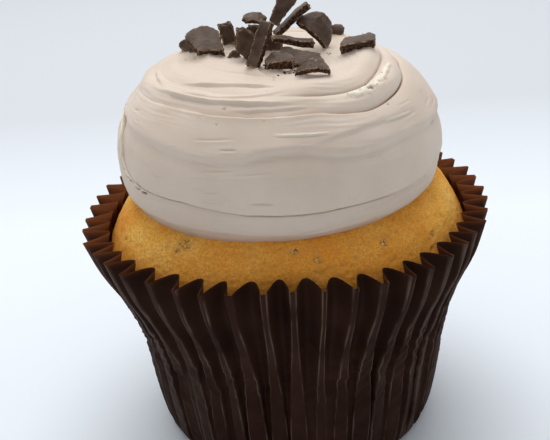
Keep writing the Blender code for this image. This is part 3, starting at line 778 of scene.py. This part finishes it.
angles = np.arange(FROSTING_COLUMNS) * 360.0 / FROSTING_COLUMNS
turns = turn_from(angles, 0.0)
lower = way_at_height(between(LOWER_CREASE, turns))
# The rows follow the shoulder crease for one turn, then come back to where it starts
first_turn = tuple(point for point in SHOULDER_CREASE if point[0] <= 180.0)
guide = ((-180.0, first_turn[-1][1]),) + first_turn
shoulder = way_at_radius(between(guide, turns))


def spread_rows(start, end, count):
    """Evenly spaced ways between two lines, without the ends."""
    return start + (end - start) * np.linspace(0.0, 1.0, count + 2)[1:-1, None]


ways = np.concatenate([
    np.zeros((1, FROSTING_COLUMNS)),
    spread_rows(0.0 * lower, lower + HUG[0], BAND_ROWS),
    lower + HUG[:, None],
    spread_rows(lower + HUG[-1], shoulder + HUG[0], SIDE_ROWS),
    shoulder + HUG[:, None],
    spread_rows(shoulder + HUG[-1], np.full_like(shoulder, FULL_WAY - 0.25), TOP_ROWS),
])
base_radius = np.interp(ways, profile_way, profile_radius)
base_height = np.interp(ways, profile_way, profile_height)
skin = polar(base_radius, angles, base_height, FROSTING_SHIFT)
print("frosting grid:", ways.shape)

# %% Relief of the frosting
CREASE_END = 40.0
# How far the upper layer stands back from the torn lip on the left
LEFT_RECESS = 0.85
# No edge of a layer is even: how far it wanders, and how much its height changes along it
WANDER = 0.16
UNEVEN = 0.7

wander = grain(polar(FROSTING_RADIUS, angles, 0.0), 3.2, 16)
uneven = 1.0 + UNEVEN * grain(skin, 6.0, 15)


def line_across(line, on_side):
    """For each column, where a line crosses it and how strong the line still is there."""
    find = way_at_height if on_side else way_at_radius
    found = []
    for turned in (turns, turns + 360.0):
        inside = (turned > line[0][0]) & (turned < line[-1][0])
        if inside.any():
            closed = line[-1][0] - line[0][0] >= 360.0 and line[0][1] == line[-1][1]
            end = min(CREASE_END, (line[-1][0] - line[0][0]) / 3)
            fade = ease(np.minimum(turned - line[0][0], line[-1][0] - turned) / end)
            strength = inside * (1.0 if closed else fade)
            found.append((find(between(line, turned)), strength))
    return found


def lap(line, on_side, lip, dip, reach, soft=0.07, groove=0.0, thread=0.0):
    """A layer that laps over the one below: a lip above the line, a dip and a groove below.

    With a lip and a dip below zero, the lower layer stands proud instead. A thread is a thin
    raised line along the lip.
    """
    total = np.zeros_like(ways)
    for crossing, strength in line_across(line, on_side):
        past = ways - crossing - WANDER * wander
        above = lip * np.exp(-np.maximum(past, 0.0) / reach)
        below = -dip * np.exp(np.minimum(past, 0.0) / (reach * 0.6))
        share = 0.5 + 0.5 * np.tanh(past / soft)
        total += strength * uneven * (above * share + below * (1 - share))
        total += strength * uneven * thread * bell(past - 0.25, 0.3)
        total -= strength * groove * bell(past + 0.06, 0.17)
    return total


def seam(line, on_side, sink, reach, roll, groove, turns_full):
    """Two rolls that meet: both round down into a groove, and the inner one swells beyond it.

    The groove is deepest between the two angles of turns_full and fades to a trace elsewhere.
    """
    total = np.zeros_like(ways)
    first, last = turns_full
    for crossing, strength in line_across(line, on_side):
        past = ways - crossing
        middle = turn_from(turns, (first + last) / 2)
        strong = 0.12 + 0.88 * ease(1.5 - np.abs(middle) / (last - first))
        total += strength * roll * bell(past - 2.6, 1.9)
        total -= strength * strong * sink * np.exp(-np.abs(past) / reach)
        total -= strength * strong * groove * bell(past, 0.14)
    return total


def soft_patch(at_angle, at_radius, turn, reach, high):
    """A soft rise or hollow round one place on the top."""
    return high * bell(turn_from(angles, at_angle), turn) * bell(ways - way_at_radius(at_radius), reach)


relief = lap(LOWER_CREASE, True, 0.42, 0.44, 2.4, soft=0.05, groove=1.0)
relief += seam(SHOULDER_CREASE, False, 0.7, 1.1, 0.5, 0.6, (48.0, 100.0))
relief += lap(SHOULDER_LIP, False, -0.34, -0.4, 1.5, soft=0.09)
relief += seam(INNER_CREASE, False, 0.6, 1.0, 0.45, 0.4, (24.0, 120.0))
relief += lap(WAIST, True, 0.74, 0.62, 2.6, soft=0.65)
relief += lap(SIDE_FOLD, True, 0.28, 0.25, 2.0, soft=0.35)
relief += lap(HEM_FOLD, True, 0.18, 0.2, 0.9, soft=0.12)
relief += lap(TOP_LIP, False, -0.3, -0.42, 1.4, soft=0.16)
recessed = ease((turns + 128.0) / 28.0) * ease((-46.0 - turns) / 24.0)
past_lower = ways - lower
relief -= LEFT_RECESS * recessed * (0.5 + 0.5 * np.tanh(past_lower / 0.1)) * bell(past_lower, 7.0)
relief += soft_patch(45.0, 9.0, 50.0, 4.5, -1.3) + soft_patch(80.0, 17.5, 30.0, 3.0, 0.9)
relief += soft_patch(8.0, 24.2, 22.0, 1.1, -0.35) + soft_patch(10.0, 20.6, 22.0, 1.7, 0.5)
for line, high in KNIFE_EDGES:
    relief += lap(line, False, 1.1 * high, 1.3 * high, 1.3, soft=0.14, thread=0.7 * high)
print("relief from", round(relief.min(), 2), "to", round(relief.max(), 2), "mm")

# %% [markdown]
# Small marks come last. Slits are where the drying skin dragged and tore. Fine scratches all run
# with the knife, so their noise is stretched along the turn and squeezed across it. The lower
# crease on the left is torn open and shows brown crumbs of cake in it. Down in the long creases
# and in small pits the skin is painted browner, as painted shade.

# %% Small marks on the frosting
SCRATCH_LENGTH = 8.0
SCRATCH_WIDTH = 0.5
SCRATCH_DEPTH = 0.08
RANDOM_SLITS = 80
PITS = 60
# Painted shade: how much browner the skin is painted down in the long creases
CREASE_SHADE = 0.5
# The torn lip on the left: its first and last angle, those of a thread beside it, and of the
# brown gaps between the two
TORN_LIP = (-86.0, -43.0)
TORN_THREAD = (-76.0, -47.0)
TORN_GAPS = ((-72.2, -70.4), (-68.2, -65.6), (-64.8, -62.4), (-61.4, -59.6), (-57.4, -53.4),
             (-52.8, -49.0))
# The flaky lip at the inner crease: its first and last angle, and angle, radius, size of pits
FLAKY_LIP = (27.0, 74.0)
FLAKY_LINE = ((20.0, 23.8), (31.0, 23.9), (43.0, 23.9), (50.0, 23.3), (61.0, 22.3), (80.0, 21.6))
FLAKY_PITS = ((43.5, 24.0, 0.5), (41.6, 23.9, 0.3), (37.0, 23.8, 0.18), (49.5, 23.6, 0.22))

draw = random.Random("palette knife")
slits = list(SLITS)
for _ in range(RANDOM_SLITS):
    start = draw.uniform(-180.0, 180.0)
    at = draw.uniform(56.5, 73.0)
    depth = draw.choice((-0.2, -0.12, -0.09, 0.09)) * (0.55 if abs(start) < 60.0 else 1.0)
    slits.append((start, at, start + draw.uniform(2.0, 9.0), at + draw.uniform(-0.4, 0.4), depth))
threads = np.zeros_like(ways)
for first, low, last, high, depth in slits:
    along = turn_from(angles, (first + last) / 2) / ((last - first) / 2)
    crossing = way_at_height((low + high) / 2 + (high - low) / 2 * np.clip(along, -1, 1))
    thin = np.sqrt(np.clip(1 - along ** 2, 0, 1))
    relief += depth * thin * bell(ways - crossing, 0.15)
    # Raised threads are painted paler too: a painted highlight along each
    threads = np.maximum(threads, (depth > 0.1) * thin * bell(ways - crossing, 0.2))
    relief -= 0.4 * depth * thin * bell(ways - crossing + 0.38, 0.2)

knife_way = ways - lower - (shoulder - lower) * ease((ways - lower - 3.0) / (shoulder - lower - 6.0))
streaked = np.stack([angles * math.radians(1.0) * FROSTING_RADIUS / SCRATCH_LENGTH
                     + 0.0 * ways, ways * 0.02, knife_way / SCRATCH_WIDTH], axis=-1)
where = ease(grain(skin, 9.0, 7) * 1.6 + 0.55)
relief += (grain(streaked, 1.0, 8) * where * SCRATCH_DEPTH
           * ease((ways - 0.8) / 2.0) * ease((FULL_WAY - ways) / 12.0))
relief += grain(skin, 11.0, 9) * 0.22 + grain(skin, 4.5, 10) * 0.11


def window(first, last, soft):
    """1 between two angles and 0 outside them, with soft ends."""
    return ease((turns - first) / soft) * ease((last - turns) / soft)


def pit(at_angle, at_way, size):
    """How deep each point is in a round pit, from 0 to 1."""
    across = turn_from(angles, at_angle) * math.radians(1.0) * base_radius
    return bell(np.hypot(across, ways - at_way), size)


torn_and_shade = np.zeros_like(ways)
flakes = 0.7 * grain(skin, 0.55, 12) + 0.7 * grain(skin, 1.5, 13)
flaky_way = ways - way_at_radius(between(FLAKY_LINE, turns))
flaky_wide = 0.4 + 0.55 * bell(turn_from(turns, 44.0), 13.0)
flaky = window(*FLAKY_LIP, 7.0) * ease(1.5 - np.abs(flaky_way + 0.5 * flakes) / flaky_wide)
relief += flaky * (0.42 + 0.16 * flakes)
# Paler dry skin on the flaky lip, and a painted highlight on the raised threads
dry_and_highlight = np.maximum(threads, flaky * ease(0.9 + 0.9 * flakes))
for at_angle, at_radius, size in FLAKY_PITS:
    hole = pit(at_angle, way_at_radius(at_radius), size)
    relief -= hole * size * 1.3
    torn_and_shade = np.maximum(torn_and_shade, hole)

ragged = grain(skin, 0.9, 11)
rim_end = ease((-67.0 - turns) / 4.0)
lip_wide = 0.14 + 0.13 * rim_end
proud = window(*TORN_LIP, 6.0) * ease(1.6 - np.abs(ways - lower + 0.34 + 0.12 * ragged) / lip_wide)
thread = window(*TORN_THREAD, 5.0) * bell(ways - lower + 1.08 + 0.2 * ragged, 0.14)
relief += proud * (0.36 + 0.34 * rim_end + 0.3 * ragged) + 0.32 * thread
dry_and_highlight = np.maximum(dry_and_highlight, np.maximum(proud, thread) * 0.9)
for first, last in TORN_GAPS:
    gap = window(first, last, 0.8) * bell(ways - lower + 0.78 + 0.12 * ragged, 0.21)
    relief -= 0.1 * gap
    torn_and_shade = np.maximum(torn_and_shade, gap)
# Painted shade down in the three long creases
torn_and_shade = np.maximum(torn_and_shade, CREASE_SHADE * bell(ways - lower + 0.08, 0.15))
torn_and_shade = np.maximum(torn_and_shade, CREASE_SHADE * window(40.0, 120.0, 16.0) * bell(ways - shoulder, 0.16))
inner = way_at_radius(between(INNER_CREASE, turns))
torn_and_shade = np.maximum(torn_and_shade, CREASE_SHADE * window(0.0, 110.0, 16.0) * bell(ways - inner, 0.16))
# Small pits, some painted brown inside: painted shadow
for _ in range(PITS):
    at_angle = draw.uniform(0.0, 360.0)
    size = draw.uniform(0.1, 0.26)
    hole = pit(at_angle, draw.uniform(1.0, FULL_WAY - 8.0), size)
    relief -= hole * size * 0.8
    torn_and_shade = np.maximum(torn_and_shade, hole * draw.choice((0.0, 0.25, 0.6)))

# %% [markdown]
# The relief fades at the bottom edge and at the middle of the top, where all the columns meet.
# The bottom edge then rolls under and rests on the cake.

# %% Skin of the frosting
UNDER_SHARES = (0.3, 0.6, 0.85, 0.95, 0.985)
UNDER_SINK = 0.25

fade = np.minimum(np.minimum(1.0, (ways + 0.4) / 1.5), (FULL_WAY - ways) / 4.0)


def change_along(values):
    """How much a measure of the profile changes across a short step of the way up it."""
    return np.interp(ways + 0.2, profile_way, values) - np.interp(ways - 0.2, profile_way, values)


run = change_along(profile_radius)
rise = change_along(profile_height)
size = np.hypot(run, rise)
out = relief * fade
skin = polar(base_radius + out * rise / size, angles, base_height - out * run / size, FROSTING_SHIFT)
under = []
for share in UNDER_SHARES:
    ring = polar(FROSTING_LINE[0][0] * share, angles, 0.0, FROSTING_SHIFT)
    out_share = np.hypot(ring[:, 0], ring[:, 1]) / SHOULDER_RADIUS
    ring[:, 2] = dome_height(out_share) - UNDER_SINK
    under.append(ring)
frosting_rows = np.concatenate([under, skin])
no_marks = np.zeros((len(under), FROSTING_COLUMNS))

# %% [markdown]
# Chocolate shards are chopped from a dark bar. A broad face keeps the satin of the mould or the
# knife, a broken side is rough, and the thin edge between them chips. The edge is painted pale:
# partly the chips, partly a painted highlight where the sharp edge catches the light. Each solid
# is copied and its long edges are split until its faces are small, which keeps the corners
# sharp, as a voxel remesh would not. Then it is roughened: much on the broken sides, and hardly
# at all on the faces. The thin way through a plate is the direction in which its points vary
# least.

# %% Broken plates of chocolate
FACE_SIZE = 0.26
SPLITS = 6
BREAK_ROUGHNESS = 0.2
FACE_ROUGHNESS = 0.02
CHIP = 0.2
EDGE_WIDTH = 0.15
# An edge of a solid that turns more than this is one the break left sharp
SHARP_TURN = math.radians(40)
# In a stick as wide as it is thick, the broad face is found the other way
FACE_WAY = {"shard_stick": 1}


def joined_copy(solid):
    """A copy of a solid's mesh with the points of neighbouring faces joined."""
    shape = bmesh.new()
    shape.from_mesh(solid.data)
    bmesh.ops.remove_doubles(shape, verts=shape.verts, dist=0.01 * MM)
    return shape


def small_faces(solid):
    """A copy of a solid's mesh with every long edge split."""
    shape = joined_copy(solid)
    bmesh.ops.triangulate(shape, faces=shape.faces)
    for _ in range(SPLITS):
        long_edges = [edge for edge in shape.edges if edge.calc_length() > FACE_SIZE * MM]
        bmesh.ops.subdivide_edges(shape, edges=long_edges, cuts=1)
        bmesh.ops.triangulate(shape, faces=[f for f in shape.faces if len(f.verts) > 3])
    return shape


def sharp_edge_spots(solid):
    """Points every tenth of a millimetre along the sharp edges of a solid."""
    shape = joined_copy(solid)
    spots = []
    for edge in shape.edges:
        if edge.calc_face_angle(0.0) > SHARP_TURN:
            start, end = (v.co.copy() for v in edge.verts)
            steps = 1 + int(edge.calc_length() / (0.1 * MM))
            spots += [start.lerp(end, step / steps) for step in range(steps + 1)]
    shape.free()
    return spots


def broken_plate(solid, name, seed):
    """One shard: the solid with rough broken sides, smooth faces and chipped edges."""
    shape = small_faces(solid)
    shape.normal_update()
    corners = np.array([v.co for v in solid.data.vertices]) / MM
    _, _, ways_out = np.linalg.svd(corners - corners.mean(0))
    thin_way = Vector(ways_out[FACE_WAY.get(solid.name, 2)])
    on_break = [abs(face.normal.dot(thin_way)) < 0.75 for face in shape.faces]
    areas = [face.calc_area() + 1e-12 for face in shape.faces]
    around = [[face.index for face in v.link_faces] for v in shape.verts]
    broken = np.array([sum(areas[i] for i in near if on_break[i]) / sum(areas[i] for i in near)
                       for near in around])
    spots = sharp_edge_spots(solid)
    corner_tree = KDTree(len(spots))
    for number, spot in enumerate(spots):
        corner_tree.insert(spot, number)
    corner_tree.balance()
    to_edge = np.array([corner_tree.find(v.co)[2] for v in shape.verts]) / MM
    edge = bell(to_edge, EDGE_WIDTH)
    points = np.array([v.co for v in shape.verts]) / MM
    normals = np.array([v.normal for v in shape.verts])
    rough = grain(points, 0.8, seed) + 0.7 * grain(points, 0.38, seed + 1)
    waved = grain(points, 2.6, seed + 2)
    chip = CHIP * edge * ease(0.35 + 1.3 * grain(points, 1.1, seed + 3))
    out = broken * BREAK_ROUGHNESS * rough + (1 - broken) * FACE_ROUGHNESS * (waved + rough) - chip
    for vertex, point, way, far in zip(shape.verts, points, normals, out):
        vertex.co = (point + way * far) * MM
    mesh = bpy.data.meshes.new(name)
    shape.to_mesh(mesh)
    shape.free()
    mesh.validate()
    mesh.shade_smooth()
    mesh.set_sharp_from_angle(angle=math.radians(38))
    mark(mesh, "broken", broken)
    mark(mesh, "edge", edge)
    return mesh


SINK_MOST = 0.5
SHARD_SINK = 0.12


def tree_of(meshes):
    """The faces of several meshes as one thing that a ray can hit."""
    points = []
    faces = []
    for mesh in meshes:
        start = len(points)
        points += [v.co.copy() for v in mesh.vertices]
        faces += [[start + i for i in face.vertices] for face in mesh.polygons]
    return BVHTree.FromPolygons(points, faces)


def rest_on(mesh, below):
    """Lower a mesh until it touches what is under it, by no more than a set way."""
    drops = []
    for vertex in mesh.vertices:
        hit = below.ray_cast(vertex.co, Vector((0.0, 0.0, -1.0)), 3.0 * MM)
        if hit[0] is not None:
            drops.append(hit[3])
    drop = min(min(drops, default=0.0) + SHARD_SINK * MM, SINK_MOST * MM)
    mesh.transform(Matrix.Translation((0.0, 0.0, -drop)))
    return drop / MM


skin_mesh = ring_mesh("skin", skin)
shards = {}
for number, node in enumerate(sorted(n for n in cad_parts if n.startswith("shard_"))):
    name = node.replace("shard_", "chocolate_")
    shards[node] = broken_plate(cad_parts[node], name, 20 + 5 * number)
lowest_first = sorted(shards, key=lambda node: min(v.co.z for v in shards[node].vertices))
settled = [skin_mesh]
for node in lowest_first:
    drop = rest_on(shards[node], tree_of(settled))
    settled.append(shards[node])
    print(node, "lowered by", round(drop, 2), "mm")
bpy.data.meshes.remove(skin_mesh)

# %% [markdown]
# Dark chocolate in temper is a deep brown with a satin face. Where it breaks it is painted
# darker, a painted shadow for what the rough side holds, but its crumbs are paler and warmer,
# and its thin edges are painted pale: chips, and a painted highlight where the edge catches light.

# %% Dark chocolate
CHOCOLATE_CRUMB = 0.4

dark_chocolate, tree, shader = start_material("dark_chocolate")
shader.inputs["Specular IOR Level"].default_value = 0.28
shader.inputs["Specular Tint"].default_value = linear("#FFEBDC")
spot = add_node(tree, "ShaderNodeTexCoord").outputs["Object"]
broken_here = add_node(tree, "ShaderNodeAttribute", attribute_name="broken").outputs["Fac"]
edge_here = add_node(tree, "ShaderNodeAttribute", attribute_name="edge").outputs["Fac"]
bloom = add_node(tree, "ShaderNodeTexNoise", {"Vector": spot, "Scale": 1 / (2.4 * MM), "Detail": 6.0})
face = add_node(tree, "ShaderNodeValToRGB", {0: bloom.outputs[0]},
                stops=((0.35, "#3E2F26"), (0.65, "#5F4E42")))
crumbs = add_node(tree, "ShaderNodeTexNoise", {"Vector": spot, "Scale": 1 / (CHOCOLATE_CRUMB * MM),
                                               "Detail": 4.0, "Roughness": 0.6})
# The broken side is painted darker, a painted shadow, with paler crumbs
side = add_node(tree, "ShaderNodeValToRGB", {0: crumbs.outputs[0]},
                stops=((0.38, "#1E120C"), (0.52, "#3A261B"), (0.66, "#77583F")))
colour = add_node(tree, "ShaderNodeMix", {0: broken_here, 6: face.outputs[0], 7: side.outputs[0]},
                  data_type="RGBA")
# Pale along the sharp edges: chips, and a painted highlight where the edge catches the light
chips_and_glints = add_node(tree, "ShaderNodeMapRange", {0: crumbs.outputs[0], 1: 0.42, 2: 0.56, 4: 0.9})
wear_and_highlight = add_node(tree, "ShaderNodeMath", {0: edge_here, 1: chips_and_glints.outputs[0]},
                operation="MULTIPLY")
colour = add_node(tree, "ShaderNodeMix", {0: wear_and_highlight.outputs[0], 6: colour.outputs[2],
                                          7: linear("#BC9A76")}, data_type="RGBA")
gloss = add_node(tree, "ShaderNodeMapRange", {0: broken_here, 3: 0.4, 4: 0.7})
bump = add_node(tree, "ShaderNodeBump", {"Height": crumbs.outputs[0], "Distance": 0.14 * MM,
                                         "Strength": 0.5})
tree.links.new(colour.outputs[2], shader.inputs["Base Color"])
tree.links.new(gloss.outputs[0], shader.inputs["Roughness"])
tree.links.new(bump.outputs[0], shader.inputs["Normal"])
for node, mesh in shards.items():
    place_piece(mesh.name, mesh, dark_chocolate, "chocolate", node)

# %% [markdown]
# A shard that drops onto soft frosting presses in, and the frosting rises to meet it. Below each
# shard the skin is lifted until it touches the chocolate, wherever the gap is small.

# %% Frosting under the shards
CLING = 0.7
CLING_SINK = 0.05
CLING_STEPS = 60
CLING_SPREAD = 0.985
# Only this near the middle of the top is there any chocolate
HEAP_RADIUS = 24.0

chocolate_tree = tree_of(shards.values())
up = Vector((0.0, 0.0, 1.0))
lift = np.zeros(ways.shape)
for row, column in zip(*np.nonzero(np.hypot(skin[..., 0], skin[..., 1]) < HEAP_RADIUS)):
    hit = chocolate_tree.ray_cast(Vector(skin[row, column]) * MM, up, CLING * MM)
    if hit[0] is not None and hit[1].z < -0.4:
        lift[row, column] = hit[3] / MM + CLING_SINK
swollen = lift.copy()
for _ in range(CLING_STEPS):
    beside = np.roll(swollen, 2, axis=1) + np.roll(swollen, -2, axis=1)
    above = np.roll(swollen, 1, axis=0) + np.roll(swollen, -1, axis=0)
    swollen = np.maximum(lift, CLING_SPREAD * (beside + above) / 4)
frosting_rows[len(under):, :, 2] += swollen
print("points of the frosting that meet chocolate:", int((lift > 0).sum()))

frosting_mesh = ring_mesh("buttercream", frosting_rows,
                          (FROSTING_SHIFT, 0.0, CAKE_TOP - UNDER_SINK),
                          (FROSTING_SHIFT, 0.0, profile_height[-1]))
mark(frosting_mesh, "torn_and_shade", np.concatenate([no_marks, torn_and_shade]))
mark(frosting_mesh, "dry_and_highlight", np.concatenate([no_marks, dry_and_highlight]))

# %% [markdown]
# Buttercream is butter beaten with sugar. Cocoa gives this one a pale mocha. It dries to a matt
# skin, while light still spreads a little way under it, which softens every crease.

# %% Mocha buttercream
mocha_buttercream, tree, shader = start_material("mocha_buttercream", Roughness=0.58)
shader.inputs["Specular IOR Level"].default_value = 0.3
shader.inputs["Subsurface Weight"].default_value = 0.14
shader.inputs["Subsurface Radius"].default_value = (1.0, 0.7, 0.5)
shader.inputs["Subsurface Scale"].default_value = 0.7 * MM
spot = add_node(tree, "ShaderNodeTexCoord").outputs["Object"]
cloud = add_node(tree, "ShaderNodeTexNoise", {"Vector": spot, "Scale": 1 / (14.0 * MM), "Detail": 4.0})
cream = add_node(tree, "ShaderNodeValToRGB", {0: cloud.outputs[0]},
                 stops=((0.35, "#DAC8B6"), (0.65, "#E2D2C2")))
torn_and_shade_here = add_node(tree, "ShaderNodeAttribute", attribute_name="torn_and_shade")
dry_and_highlight_here = add_node(tree, "ShaderNodeAttribute", attribute_name="dry_and_highlight")
# Paler dry skin, and a painted highlight on the raised threads
colour = add_node(tree, "ShaderNodeMix", {0: dry_and_highlight_here.outputs["Fac"], 6: cream.outputs[0],
                                          7: linear("#F5EBD8")}, data_type="RGBA")
# Brown where the skin is torn, and painted shade in the creases and pits
colour = add_node(tree, "ShaderNodeMix", {0: torn_and_shade_here.outputs["Fac"], 6: colour.outputs[2],
                                          7: linear("#683E22")}, data_type="RGBA")
skin_grain = add_node(tree, "ShaderNodeTexNoise",
                      {"Vector": spot, "Scale": 1 / (0.5 * MM), "Detail": 4.0})
bump = add_node(tree, "ShaderNodeBump", {"Height": skin_grain.outputs[0], "Distance": 0.05 * MM,
                                         "Strength": 0.5})
tree.links.new(colour.outputs[2], shader.inputs["Base Color"])
tree.links.new(bump.outputs[0], shader.inputs["Normal"])
place_piece("buttercream", frosting_mesh, mocha_buttercream, "frosting", "frosting")

# %% [markdown]
# Loose crumbs finish it. Where a lip of frosting tore, it left small dry crumbs of buttercream,
# and chopping a bar always gives some chocolate dust. Each crumb is a small ball with its points
# pushed about, and all the crumbs of one kind are one mesh.

# %% Crumbs
CRUMB_SIZES = (0.1, 0.28)
DUST_SIZES = (0.12, 0.4)
TOP_LIP_TORN = (-33.0, -12.0)
# Angle and radius of each place with chocolate dust, its spread and how many bits
DUST = ((-89.0, 16.8, 0.3, 1), (12.0, 13.0, 3.0, 10), (62.0, 8.5, 2.2, 5), (85.0, 10.5, 2.0, 5),
        (-20.0, 8.0, 3.5, 10), (-110.0, 6.0, 4.0, 8), (175.0, 7.0, 4.0, 10))


def crumb_mesh(name, spots, sizes, flat, seed):
    """One mesh with a small uneven ball at each spot."""
    draw = random.Random(seed)
    shape = bmesh.new()
    for spot in spots:
        size = draw.uniform(*sizes)
        made = bmesh.ops.create_icosphere(shape, subdivisions=1, radius=size * MM)["verts"]
        spin = Euler([draw.uniform(0.0, math.tau) for _ in range(3)]).to_matrix()
        for vertex in made:
            stretched = Vector((vertex.co.x, vertex.co.y * draw.uniform(0.6, 1.1), vertex.co.z * flat))
            vertex.co = spin @ (stretched * draw.uniform(0.7, 1.2)) + Vector(spot) * MM
    mesh = bpy.data.meshes.new(name)
    shape.to_mesh(mesh)
    shape.free()
    return mesh


def skin_spot(at_angle, at_way):
    """The point of the finished skin nearest to an angle and a way up the profile."""
    column = int(round(at_angle / 360.0 * FROSTING_COLUMNS)) % FROSTING_COLUMNS
    row = int(np.abs(ways[:, column] - at_way).argmin())
    return frosting_rows[len(under) + row, column]


def crumbs_along(line, find, reach, count, beyond, spread):
    """Spots beside a line on the frosting, at seeded random angles within its reach."""
    found = []
    for _ in range(count):
        at = draw.uniform(*reach)
        line_way = float(find(between(line, at)))
        found.append(skin_spot(at, line_way + draw.gauss(beyond, spread)))
    return found


draw = random.Random("crumbs")
cream_spots = crumbs_along(LOWER_CREASE, way_at_height, TORN_LIP, 16, 0.15, 0.22)
cream_spots += crumbs_along(FLAKY_LINE, way_at_radius, FLAKY_LIP, 8, 0.0, 0.6)
cream_spots += crumbs_along(TOP_LIP, way_at_radius, TOP_LIP_TORN, 16, 0.0, 0.2)
cream_crumbs = crumb_mesh("buttercream_crumbs", cream_spots, CRUMB_SIZES, 0.7, "cream crumbs")
place_piece("buttercream_crumbs", cream_crumbs, mocha_buttercream, "frosting")

dust_spots = []
for at_angle, at_radius, spread, count in DUST:
    middle = polar(at_radius, at_angle, 0.0, FROSTING_SHIFT)
    for _ in range(count):
        x = middle[0] + draw.gauss(0.0, spread / 2)
        y = middle[1] + draw.gauss(0.0, spread / 2)
        at = math.degrees(math.atan2(x - FROSTING_SHIFT, -y))
        dust_spots.append(skin_spot(at, float(way_at_radius(math.hypot(x - FROSTING_SHIFT, y)))))
dust = crumb_mesh("chocolate_dust", dust_spots, DUST_SIZES, 0.6, "dust")
place_piece("chocolate_dust", dust, dark_chocolate, "chocolate")

# %% [markdown]
# Last, the view layer is brought up to date. The visual model has to stay in the box of the
# solids.

# %% The end
bpy.context.view_layer.update()
